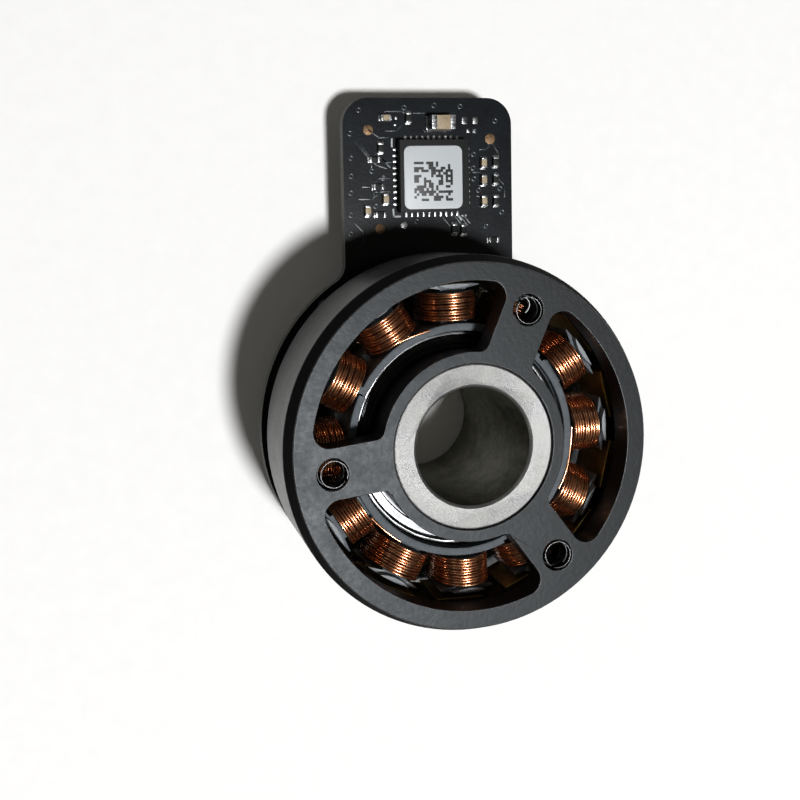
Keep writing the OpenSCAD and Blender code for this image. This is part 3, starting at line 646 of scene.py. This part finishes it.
class MOTOR_OT_finish_rotor(bpy.types.Operator):
    """Magnets and their glue, hollow shaft, inner races, preload washer and retaining ring"""
    bl_idname = "motor.finish_rotor"
    bl_label = "Finish the rotor's inside"

    def execute(self, context):
        # The magnets take the nickel with the copper's light painted in
        softened_copy("rotor_magnets", "rotor", ("nickel_painted_copper_light",), 0.09 * MM)
        # Glue fills each gap between two magnets, from just behind their inner faces out to the
        # ring, and reaches a little way into the sides of both, so that no slit shows
        step, overlap = 360 / MAGNETS, 1.2
        half = math.degrees(math.atan2(MAGNET_W / 2, MAGNET_R)) - overlap
        gaps = [(at + half, at + step - half) for at in MAGNET_ANGLE + np.arange(MAGNETS) * step]
        glue_r, ring_r, edge = 12.9, 13.66, 0.3
        low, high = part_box("rotor_magnets")
        z0, z1 = low.z / MM + 0.05, high.z / MM - 0.1
        glue = revolved_arcs(gaps, (
            (glue_r + 0.05, z0), (glue_r, z0 + edge), (glue_r, z1 - edge), (glue_r + 0.1, z1),
            (ring_r, z1), (ring_r, z0)))
        add_piece("magnet_glue", glue, "black_epoxy", "rotor")

        # Faces in the bore below its mouth take the steel painted dark as painted shade
        def shaft_face(centre, normal):
            in_bore = math.hypot(centre.x, centre.y) < (BORE_R + 0.05) * MM
            return 1 if in_bore and centre.z < (SHAFT_TOP - 0.3) * MM else 0

        softened_copy("hollow_shaft", "rotor", ("blasted_steel", "bore_steel_painted_shade"),
                      0.05 * MM, pick=shaft_face, edges=-1)
        dress_nodes("ground_steel", "front_inner_race", "rear_inner_race")
        dress_nodes("spring_steel", "wave_washer", "retaining_ring")
        return {"FINISHED"}


# The angle at which each insert's coil starts, in degrees
INSERT_STARTS = (200.0, 40.0, 310.0)
# Start, bend and end of the tang from the middle of its insert's top
TANG = ((0.1, 0.98, -0.5), (0.9, 0.35, -0.5), (0.28, -0.3, -0.75))


class MOTOR_OT_thread_inserts(bpy.types.Operator):
    """Coiled wire thread inserts in the bell's three holes, one with its tang still on"""
    bl_idname = "motor.thread_inserts"
    bl_label = "Add thread inserts"

    def execute(self, context):
        low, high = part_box("thread_inserts")[0].z / MM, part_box("thread_inserts")[1].z / MM
        pitch, wire_r, coil_r = 0.4, 0.14, 1.04
        turns = (high - low - 2 * wire_r) / pitch
        a = np.linspace(0, turns * 2 * math.pi, int(turns * 28))
        path = rays(a) * coil_r
        path[:, 2] = high - wire_r - a / (2 * math.pi) * pitch
        coil = tube(path, rays(a), wire_r)
        # A thin bright ring of painted highlight stands for the glint on the coil's first turn:
        # near the face, away from the coil's start, and shifted sideways to where the glint falls
        depth, fall, highlight_r, highlight_shift = 0.16, 0.03, 0.042, (0.15, -0.05, 0)
        a = np.linspace(0, 1.93 * math.pi, 60)
        path = rays(a)
        path[:, 2] = FACE_Z - depth - fall * a
        highlight_ring = tube(path, rays(a), highlight_r)
        # The tang is a hook of the same wire, drawn thin: a quadratic curve from the coil's wall
        # past the hole's middle
        t = np.linspace(0, 1, 14)[:, None]
        start, bend, end = np.array(TANG) + (0, 0, high)
        tang = tube(start * (1 - t) ** 2 + bend * 2 * t * (1 - t) + end * t ** 2, UP, 0.09)
        coils, bright = [], []
        for i, at in enumerate(INSERT_STARTS):
            hole = rays(math.radians(HOLE_ANGLE + 120 * i)) * HOLE_R
            coils.append(turned(coil, at, hole))
            bright.append(turned(highlight_ring, at - 60, hole + highlight_shift))
            if i == 0:
                bright.append(turned(tang, 0, hole))
        add_piece("coiled_thread_inserts", join(coils), "insert_wire_painted_shade", "rotor",
                  ("thread_inserts",))
        add_piece("insert_highlights_and_tang", join(bright), "wire_and_painted_highlight", "rotor")
        return {"FINISHED"}


def loop_outline(half_v, half_z, power, count):
    """Points and outward normals of a superellipse |v/a|^n + |z/b|^n = 1, evenly spaced.

    It starts at the middle of the rear crown and runs towards +v."""
    t = np.linspace(-math.pi / 2, 1.5 * math.pi, 4001)
    v = half_v * np.sign(np.cos(t)) * np.abs(np.cos(t)) ** (2 / power)
    z = half_z * np.sign(np.sin(t)) * np.abs(np.sin(t)) ** (2 / power)
    run = np.concatenate([[0], np.cumsum(np.hypot(np.diff(v), np.diff(z)))])
    even = np.linspace(0, run[-1], count, endpoint=False)
    v, z = np.interp(even, run, v), np.interp(even, run, z)
    n = np.stack([np.sign(v) * np.abs(v / half_v) ** (power - 1) / half_v,
                  np.sign(z) * np.abs(z / half_z) ** (power - 1) / half_z], -1)
    return v, z, n / np.linalg.norm(n, axis=1, keepdims=True)


def wound_layer(inner_r, outer_r, half_v, half_z, power, turns, wire_r, stray, seed, per_loop):
    """One layer of wire round a tooth on the X axis: the loop's outline, moved out turn by turn.

    Each turn wanders by slow sines along the wire and lifts a little where it rides over its
    neighbour. Gives the path and the normals that point away from the tooth."""
    rng = np.random.default_rng(seed)
    v, z, n = loop_outline(half_v, half_z, power, per_loop)
    count = turns * per_loop + 1
    i = np.arange(count)
    v, z, n = v[i % per_loop], z[i % per_loop], n[i % per_loop]
    turn = i / per_loop
    phase = rng.uniform(0, 2 * math.pi, 4)
    knots = np.arange(turns + 2)
    wander = np.interp(turn, knots, rng.uniform(-1, 1, turns + 2))
    lift = np.interp(turn, knots - 0.3, rng.uniform(-1, 1, turns + 2))
    u = inner_r + wire_r + (outer_r - inner_r - 2 * wire_r) * turn / turns
    u = u + stray * (0.6 * wander + 0.5 * np.sin(turn * 9.3 + phase[0])
                     + 0.3 * np.sin(turn * 23 + phase[1]))
    u = np.clip(u, inner_r + wire_r, outer_r - wire_r)
    rise = stray * (0.9 * lift + 0.5 * np.sin(turn * 6.1 + phase[2]))
    path = np.stack([u, v + n[:, 0] * rise, z + n[:, 1] * rise], -1)
    return path, np.stack([np.zeros(count), n[:, 0], n[:, 1]], -1)


# The coils' reach along their teeth, and the half width of a coil
COIL_IN, COIL_OUT, COIL_HALF_W = 9.15, 11.6, 2.3
# Cross-over wires: start and end in degrees, and the radius at each
CROSSOVERS = ((-29, 3, 9.18, 9.14), (-143, -124, 9.2, 9.12), (106, 124, 8.96, 9.2))


class MOTOR_OT_wind_coils(bpy.types.Operator):
    """Twelve coils of enamelled copper wire in three phases, two layers each, and cross-overs"""
    bl_idname = "motor.wind_coils"
    bl_label = "Wind the coils"

    def execute(self, context):
        s = context.scene.motor_windings
        wire_r = s.wire_d / MM / 2
        stray = s.stray / MM
        half_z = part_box("phase_a_turns")[1].z / MM - CORE_MID - wire_r
        # Hand-wound coils swell unevenly, so each has a half width of its own
        swell = np.random.default_rng(7).uniform(-0.09, 0.06, SLOTS)
        # Name, the CAD turns or coils it replaces, finish, sink, turns, stray, seed, loop's
        # points, sides. The inner layer's wires lie in the grooves of the outer one's.
        layers = (
            ("outer", "turns", "enamelled_copper", 0.0, s.turns, stray, 40, 36, 8),
            ("inner", "coils", "inner_copper_painted_shade", 1.75 * wire_r, s.turns - 1, stray / 2, 90, 28, 6))
        for p, phase in enumerate("abc"):
            for layer, node, material, sink, turns, wander, seed, per_loop, sides in layers:
                loops = []
                for tooth in range(p, SLOTS, 3):
                    half_v = COIL_HALF_W - wire_r + swell[tooth]
                    path, normals = wound_layer(
                        COIL_IN, COIL_OUT, half_v - sink, half_z - sink, s.crown, turns, wire_r,
                        wander, seed + tooth, per_loop)
                    loops.append(turned(tube(path, normals, wire_r, sides),
                                        FIRST_TOOTH + tooth * 360 / SLOTS, (0, 0, CORE_MID)))
                add_piece(f"phase_{phase}_{layer}_layer", join(loops), material, "stator",
                          (f"phase_{phase}_{node}",))
        # Cross-over wires lie in slightly wavy arcs on the insulator's wall, inside the coils
        arcs = []
        for start, end, r0, r1 in CROSSOVERS:
            a = np.radians(np.linspace(start, end, 24))
            path = rays(a) * (np.linspace(r0, r1, 24) + 0.02 * np.sin(a * 9))[:, None]
            path[:, 2] = WALL_TOP - wire_r + 0.04 * np.sin(a * 14)
            arcs.append(tube(path, UP, wire_r))
        add_piece("crossover_wires", join(arcs), "enamelled_copper", "stator")
        dress_nodes("enamelled_copper", "phase_leads")
        return {"FINISHED"}


# Stretches of the insulator's wall between its wire notches, in degrees
WALL_SPANS = ((-64.0, 41.0), (44.0, 150.0), (154.0, 292.0))
# The wall's rounded top: radius, and depth below the top
WALL_EDGE = ((8.5, 0.06), (8.53, 0.02), (8.58, 0.0), (8.98, 0.0), (9.04, 0.02), (9.07, 0.06))
# The coat over the tooth tips is painted paler as painted light, from this radius outward
TIP_LENS_R = 11.5


class MOTOR_OT_finish_stator(bpy.types.Operator):
    """Stator core, end insulators, base, outer races and shields"""
    bl_idname = "motor.finish_stator"
    bl_label = "Finish the stator"

    def execute(self, context):
        softened_copy("stator_core", "stator", ("powder_coat",), 0.05 * MM)

        def coat_face(centre, normal):
            return 1 if math.hypot(centre.x, centre.y) > TIP_LENS_R * MM else 0

        softened_copy("front_end_insulator", "stator", ("powder_coat", "tip_coat_painted_light"),
                      0.03 * MM, pick=coat_face, edges=-1)
        wall = [(WALL_EDGE[0][0], COAT_TOP), *((r, WALL_TOP - fall) for r, fall in WALL_EDGE),
                (WALL_EDGE[-1][0], COAT_TOP)]
        add_piece("insulator_wall", revolved_arcs(WALL_SPANS, wall), "powder_coat", "stator")
        dress_nodes("powder_coat", "rear_end_insulator")
        softened_copy("stator_base", "stator", ("turned_aluminium",),
                      0.04 * MM)
        for node in ("front_outer_race", "front_shields"):
            softened_copy(node, "stator", ("ground_steel",), 0.06 * MM)
        dress_nodes("ground_steel", "rear_outer_race", "rear_shields")
        return {"FINISHED"}


class MOTOR_OT_finish_bearings(bpy.types.Operator):
    """Balls and cages inside the two bearings"""
    bl_idname = "motor.finish_bearings"
    bl_label = "Finish the balls and cages"

    def execute(self, context):
        dress_nodes("ground_steel", "front_balls", "rear_balls")
        dress_nodes("nylon_cage", "front_ball_cage", "rear_ball_cage")
        return {"FINISHED"}


# Board detail, in millimetres. Round pads and dots: x, y, radius
TEST_PADS = ((-4.83, 24.56, 0.43), (5.84, 23.76, 0.45), (-3.96, 16.4, 0.42))
DOTS = ((-1.88, 16.68, 0.3),)
VIAS = ((-6.33, 22.28), (-6.36, 20.81), (-6.39, 19.42), (-6.43, 17.61), (-6.46, 16.04),
        (4.35, 22.5), (4.3, 21.35), (4.35, 20.45), (4.75, 19.5), (5.4, 16.43), (-0.75, 16.95),
        (-4.56, 21.2), (-3.6, 20.61), (-4.26, 19.3), (-4.3, 18.3), (6.7, 19.6), (-5.6, 26.2),
        (-1.7, 26.4), (0.9, 26.6), (3.2, 26.5), (6.3, 25.3), (-6.4, 24.3), (6.85, 17.6))
# A via's ring of copper under the mask, as a closed profile of radius and height
VIA_RING = ((0.11, 0.0), (0.11, 0.015), (0.15, 0.03), (0.21, 0.03), (0.25, 0.01), (0.25, 0.0))
TRACES = (
    ((-4.83, 24.56), (-3.9, 23.95), (-3.1, 23.95)),
    ((-5.9, 23.6), (-4.6, 22.0), (-4.6, 21.5)),
    ((-5.5, 23.4), (-4.2, 21.7), (-3.3, 21.4)),
    ((-4.2, 22.7), (-3.4, 21.9), (-2.9, 21.9)),
    ((-3.7, 22.2), (-3.0, 21.5)),
    ((-5.4, 19.9), (-4.7, 19.9), (-4.0, 20.6), (-3.0, 20.6)),
    ((-5.7, 18.9), (-4.6, 18.9), (-3.9, 19.5), (-3.0, 19.5)),
    ((-3.4, 26.1), (-1.9, 26.1), (-1.5, 25.9)),
    ((-0.9, 25.95), (0.2, 25.95)),
    ((1.3, 17.7), (1.5, 17.3), (2.2, 16.5)),
    ((2.6, 17.4), (3.2, 16.65)),
    ((3.0, 17.5), (3.7, 16.6)),
    ((3.4, 17.4), (3.95, 16.75)),
    ((4.9, 22.9), (5.5, 22.9), (5.84, 23.3)),
    ((6.1, 23.3), (6.6, 22.6), (6.6, 22.3)),
    ((4.3, 21.0), (5.0, 21.0)),
    ((4.6, 19.0), (5.0, 18.9)),
    ((6.6, 20.4), (7.1, 19.9), (7.1, 18.9)),
    ((-6.2, 17.0), (-5.4, 16.2), (-5.4, 15.2)),
    ((-3.3, 24.5), (-2.4, 24.5), (-1.9, 25.0)),
)
# Bare pads: x, y, length along X, length along Y
PADS = ((3.54, 25.3, 0.5, 0.62), (4.52, 25.3, 0.5, 0.62), (3.85, 24.44, 0.3, 0.38),
        (4.42, 24.44, 0.36, 0.38), (-2.42, 25.53, 0.28, 0.3), (-2.5, 24.95, 0.3, 0.2))
# Marks at the chip's corners: points from the chip's middle
MARKS = (((-3.4, -2.7), (-3.35, -3.3), (-2.8, -3.3)),
         ((3.0, -3.35), (2.35, -3.35), (2.6, -3.7)),
         ((-3.42, 2.5), (-3.42, 3.1)))
# Chip capacitors and resistors: x, y, and the turn of their length from the X axis in degrees
CAPACITORS = ((5.144, 21.747, 90), (5.144, 20.3, 90), (5.144, 18.547, 90),
              (-3.367, 25.536, 0), (-5.048, 17.907, 90), (-3.485, 18.867, 90))
RESISTORS = ((-1.39, 25.536, 90), (-3.824, 23.078, 90), (-4.37, 22.106, 0),
             (-4.075, 19.866, 0), (-3.942, 17.562, 0), (2.519, 16.243, 90),
             (3.315, 16.141, 90), (6.25, 21.824, 90), (6.25, 20.352, 90), (6.25, 18.534, 90),
             (6.0, 15.219, 0))
# Length and width of these small parts, and the height of each kind
PART_L, PART_W = 0.9, 0.45
CAPACITOR_H, RESISTOR_H = 0.45, 0.3


class MOTOR_OT_finish_board(bpy.types.Operator):
    """Board with its fibreglass edge, raised traces, vias, test pads and bare pads"""
    bl_idname = "motor.finish_board"
    bl_label = "Finish the board"

    def execute(self, context):
        width = context.scene.motor_board.trace_w / MM

        def board_face(centre, normal):
            return 0 if abs(normal.z) > 0.5 else 1

        softened_copy("circuit_board", "stator",
                      ("solder_mask", "fibreglass_edge"), 0, pick=board_face)
        x, y, _ = middle("controller_chip")
        via = revolved([(r, BOARD_TOP + z) for r, z in VIA_RING])
        for name, shapes, material in (
                ("raised_traces", [ribbon(line, width, 0.03) for line in TRACES], "raised_trace"),
                ("tented_vias", [placed(via, *place) for place in VIAS], "raised_trace"),
                ("test_pads", [placed(disc(r, 0.03, 0.012), px, py) for px, py, r in TEST_PADS],
                 "gold_pad"),
                ("tinned_pads", [placed(disc(r, 0.05, 0.03), px, py) for px, py, r in DOTS]
                 + [placed(rounded_block(a, b, 0.07, 0.08, 0.06), px, py)
                    for px, py, a, b in PADS], "tinned_solder"),
                ("corner_marks", [ribbon(np.array(line) + (x, y), 0.14, 0.02) for line in MARKS],
                 "marking_ink")):
            add_piece(name, join(shapes), material, "stator")
        return {"FINISHED"}


def two_ended_part(x, y, length, width, height, turn):
    """A chip part: its body, and its metal end caps with the solder fillets at their feet."""
    end = 0.22 * length
    body = rounded_block(length - end, width, height, 0.03)
    cap = rounded_block(end, width + 0.02, height + 0.02, 0.04, 0.03)
    solder = rounded_block(0.24, width + 0.08, 0.09, 0.08, 0.08)
    metal = [placed(shape, side * reach, 0)
             for shape, reach in ((cap, (length - end) / 2), (solder, length / 2 + 0.02))
             for side in (-1, 1)]
    shift = (x, y, 0)
    return turned(body, turn, shift), [turned(shape, turn, shift) for shape in metal]


class MOTOR_OT_fit_electronics(bpy.types.Operator):
    """Drive chip with its pads and label, capacitors, resistors, sensors, connector and screws"""
    bl_idname = "motor.fit_electronics"
    bl_label = "Fit the electronics"

    def execute(self, context):
        x, y, _ = middle("controller_chip")
        chip_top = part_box("controller_chip")[1].z / MM
        # The body stands on its pads, ten to a side at the usual pitch
        chip_w, stand, pad_pitch = 6.0, 0.04, 0.5
        body = rounded_block(chip_w, chip_w, chip_top - BOARD_TOP - stand, 0.08, 0.04,
                             BOARD_TOP + stand)
        add_piece("chip_body", placed(body, x, y), "moulded_epoxy", "stator",
                  ("controller_chip",))
        pad = rounded_block(0.24, 0.55, 0.09, 0.08, 0.05)
        pads = [turned(placed(pad, along, chip_w / 2 + 0.12), 90 * side, (x, y, 0))
                for side in range(4) for along in (np.arange(10) - 4.5) * pad_pitch]
        add_piece("chip_pads", join(pads), "tinned_solder", "stator")

        x, y, _ = middle("chip_label")
        label_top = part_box("chip_label")[1].z / MM
        label_w, label_l = 5.05, 5.2
        label = rounded_block(label_w, label_l, label_top - chip_top, 0.55, 0.02, chip_top, 8)
        made = add_piece("square_label", placed(label, x, y), "printed_label", "stator",
                         ("chip_label",))
        uv = made.data.uv_layers.new(name="label")
        corners = np.array([made.data.vertices[c.vertex_index].co for c in made.data.loops]) / MM
        uv.data.foreach_set("uv", ((corners[:, :2] - (x, y)) / (label_w, label_l) + 0.5).ravel())

        centre = middle("supply_capacitor")
        low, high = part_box("supply_capacitor")
        size = (high - low) / MM
        for name, parts, height, material, slot, node in (
                ("capacitor", CAPACITORS, CAPACITOR_H, "capacitor_ceramic", "capacitor_ceramic",
                 "small_capacitors"),
                ("resistor", RESISTORS, RESISTOR_H, "moulded_epoxy", "chip_package",
                 "chip_resistors")):
            bodies, metal = zip(*[two_ended_part(px, py, PART_L, PART_W, height, turn)
                                  for px, py, turn in parts])
            add_piece(f"{name}_bodies", join(bodies), material, "stator", (node,))
            add_piece(f"{name}_ends", join(sum(metal, [])), "tinned_solder", "stator")
        body, metal = two_ended_part(centre.x, centre.y, size.x, size.y, size.z, 0)
        add_piece("supply_capacitor_body", body, "capacitor_ceramic", "stator",
                  ("supply_capacitor",))
        add_piece("supply_capacitor_ends", join(metal), "tinned_solder", "stator")

        softened_copy("position_sensors", "stator", ("moulded_epoxy",), 0.05 * MM)
        softened_copy("rear_connector", "stator", ("connector_nylon",),
                      0.06 * MM)
        dress_nodes("black_screw", "board_screws")
        return {"FINISHED"}


# The stage, in metres

FLOOR_REACH = 8.0
# Between these distances from the motor, the floor's lift grows from the setting to full white
LIFT_SPAN = (0.12, 0.9)
# Between these heights of a mirrored ray, the backdrop's white fades out
BACKDROP_SPAN = (0.04, 0.22)
WHITE = (1.0, 1.0, 1.0, 1.0)
KEY_PLACE, KEY_SIZE = (0.1, -0.174, 0.67), 0.1
FILL_PLACE, FILL_SIZE = (-0.42, 0.34, 0.4), 0.16


class MOTOR_OT_set_stage(bpy.types.Operator):
    """Pale floor, soft studio lamps and the camera at the photograph's place"""
    bl_idname = "motor.set_stage"
    bl_label = "Set the stage"

    def execute(self, context):
        scene = context.scene
        s = scene.motor_stage
        scene.view_settings.view_transform = "Standard"

        mesh = bpy.data.meshes.new("pale_floor")
        mesh.from_pydata([(x * FLOOR_REACH, y * FLOOR_REACH, 0)
                          for x, y in ((-1, -1), (1, -1), (1, 1), (-1, 1))], [], [(0, 1, 2, 3)])
        # Matt white board. The light on it near the motor is almost white, and what the camera
        # and gloss see of it is lifted to full white, so that only the shadow shows. The lamps
        # leave the far floor dark, so the lift grows with the distance from the motor.
        material, tree, shader, place = start_surface(
            "pale_floor", Roughness=0.8, Specular_IOR_Level=0.2, Emission_Color=WHITE)
        far = add_node(tree, "ShaderNodeVectorMath", {0: place}, operation="LENGTH")
        lift = map_range(tree, far.outputs["Value"], LIFT_SPAN, (s.floor_lift, 1.0), "SMOOTHSTEP")
        rays_of = add_node(tree, "ShaderNodeLightPath").outputs
        seen = calculate(tree, "MAXIMUM", rays_of["Is Camera Ray"], rays_of["Is Glossy Ray"])
        seen = calculate(tree, "MAXIMUM", seen, rays_of["Is Transmission Ray"])
        feed(tree, shader, Emission_Strength=calculate(tree, "MULTIPLY", seen, lift),
             Base_Color=ramp(tree, noise(tree, place, 1.5), ("#fafaf9", "#fdfdfc")))
        mesh.materials.append(material)
        floor = bpy.data.objects.new("pale_floor", mesh)
        scene.collection.objects.link(floor)

        world = scene.world or bpy.data.worlds.new("studio")
        scene.world = world
        world.use_nodes = True
        tree = world.node_tree
        tree.nodes.clear()
        # The room's light falls off from overhead to the sides. The camera sees white behind the
        # floor, and gloss sees it too, in a low band like a backdrop's.
        ray = add_node(tree, "ShaderNodeTexCoord").outputs["Generated"]
        height = add_node(tree, "ShaderNodeSeparateXYZ", {"Vector": ray}).outputs["Z"]
        room = add_node(tree, "ShaderNodeBackground", {
            "Color": linear(s.room),
            "Strength": map_range(tree, height, (0.0, 1.0), (s.horizon, s.zenith), "SMOOTHSTEP")})
        white = add_node(tree, "ShaderNodeBackground", {"Color": WHITE, "Strength": 1.0})
        low = map_range(tree, height, BACKDROP_SPAN, (1.0, 0.0), "SMOOTHSTEP")
        rays_of = add_node(tree, "ShaderNodeLightPath").outputs
        mirrored = calculate(
            tree, "MAXIMUM", rays_of["Is Glossy Ray"], rays_of["Is Transmission Ray"])
        banded = calculate(tree, "MULTIPLY", mirrored, low)
        seen = calculate(tree, "MAXIMUM", rays_of["Is Camera Ray"], banded)
        both = add_node(tree, "ShaderNodeMixShader", {
            0: seen, 1: room.outputs["Background"], 2: white.outputs["Background"]})
        add_node(tree, "ShaderNodeOutputWorld", {"Surface": both.outputs["Shader"]})

        # Each lamp is a disc that faces the motor: its tilt from Z, then its turn about Z
        for name, place, size, power in (("key", KEY_PLACE, KEY_SIZE, s.key_power),
                                         ("fill", FILL_PLACE, FILL_SIZE, s.fill_power)):
            data = bpy.data.lights.new(name, "AREA")
            data.shape = "DISK"
            data.size = size
            data.energy = power
            lamp = bpy.data.objects.new(name, data)
            lamp.location = place
            lamp.rotation_euler = (math.acos(place[2] / np.linalg.norm(place)), 0,
                                   math.atan2(place[1], place[0]) + math.pi / 2)
            scene.collection.objects.link(lamp)

        data = bpy.data.cameras.new("camera")
        data.sensor_fit = "HORIZONTAL"
        data.sensor_width = 36
        data.lens = s.lens
        data.shift_x, data.shift_y = s.shift
        data.clip_start = 0.001
        camera = bpy.data.objects.new("camera", data)
        camera.location = s.camera_place
        camera.rotation_euler = Euler(s.camera_turn)
        scene.collection.objects.link(camera)
        scene.camera = camera
        return {"FINISHED"}


class MOTOR_PT_panel(bpy.types.Panel):
    """Lists the settings and the steps that dress the motor"""
    bl_idname = "MOTOR_PT_panel"
    bl_label = "Gimbal motor"
    bl_space_type = "VIEW_3D"
    bl_region_type = "UI"
    bl_category = "Motor"

    def draw(self, context):
        for name in SETTINGS:
            settings = getattr(context.scene, name)
            box = self.layout.box()
            for each in settings.__annotations__:
                box.prop(settings, each)
        for step in STEPS:
            self.layout.operator(step.bl_idname)


STEPS = (
    MOTOR_OT_finish_bell,
    MOTOR_OT_finish_rotor,
    MOTOR_OT_thread_inserts,
    MOTOR_OT_wind_coils,
    MOTOR_OT_finish_stator,
    MOTOR_OT_finish_bearings,
    MOTOR_OT_finish_board,
    MOTOR_OT_fit_electronics,
    MOTOR_OT_set_stage,
)
SETTINGS = {
    "motor_bell": BellSettings,
    "motor_windings": WindingSettings,
    "motor_board": BoardSettings,
    "motor_stage": StageSettings,
}
CLASSES = (*SETTINGS.values(), *STEPS, MOTOR_PT_panel)


def register():
    for each in CLASSES:
        bpy.utils.register_class(each)
    for name, group in SETTINGS.items():
        setattr(bpy.types.Scene, name, bpy.props.PointerProperty(type=group))


def unregister():
    for name in SETTINGS:
        delattr(bpy.types.Scene, name)
    for each in reversed(CLASSES):
        bpy.utils.unregister_class(each)


def main():
    """Dresses the motor step by step."""
    register()
    bpy.ops.motor.finish_bell()
    bpy.ops.motor.finish_rotor()
    bpy.ops.motor.thread_inserts()
    bpy.ops.motor.wind_coils()
    bpy.ops.motor.finish_stator()
    bpy.ops.motor.finish_bearings()
    bpy.ops.motor.finish_board()
    bpy.ops.motor.fit_electronics()
    bpy.ops.motor.set_stage()


if __name__ == "__main__":
    main()
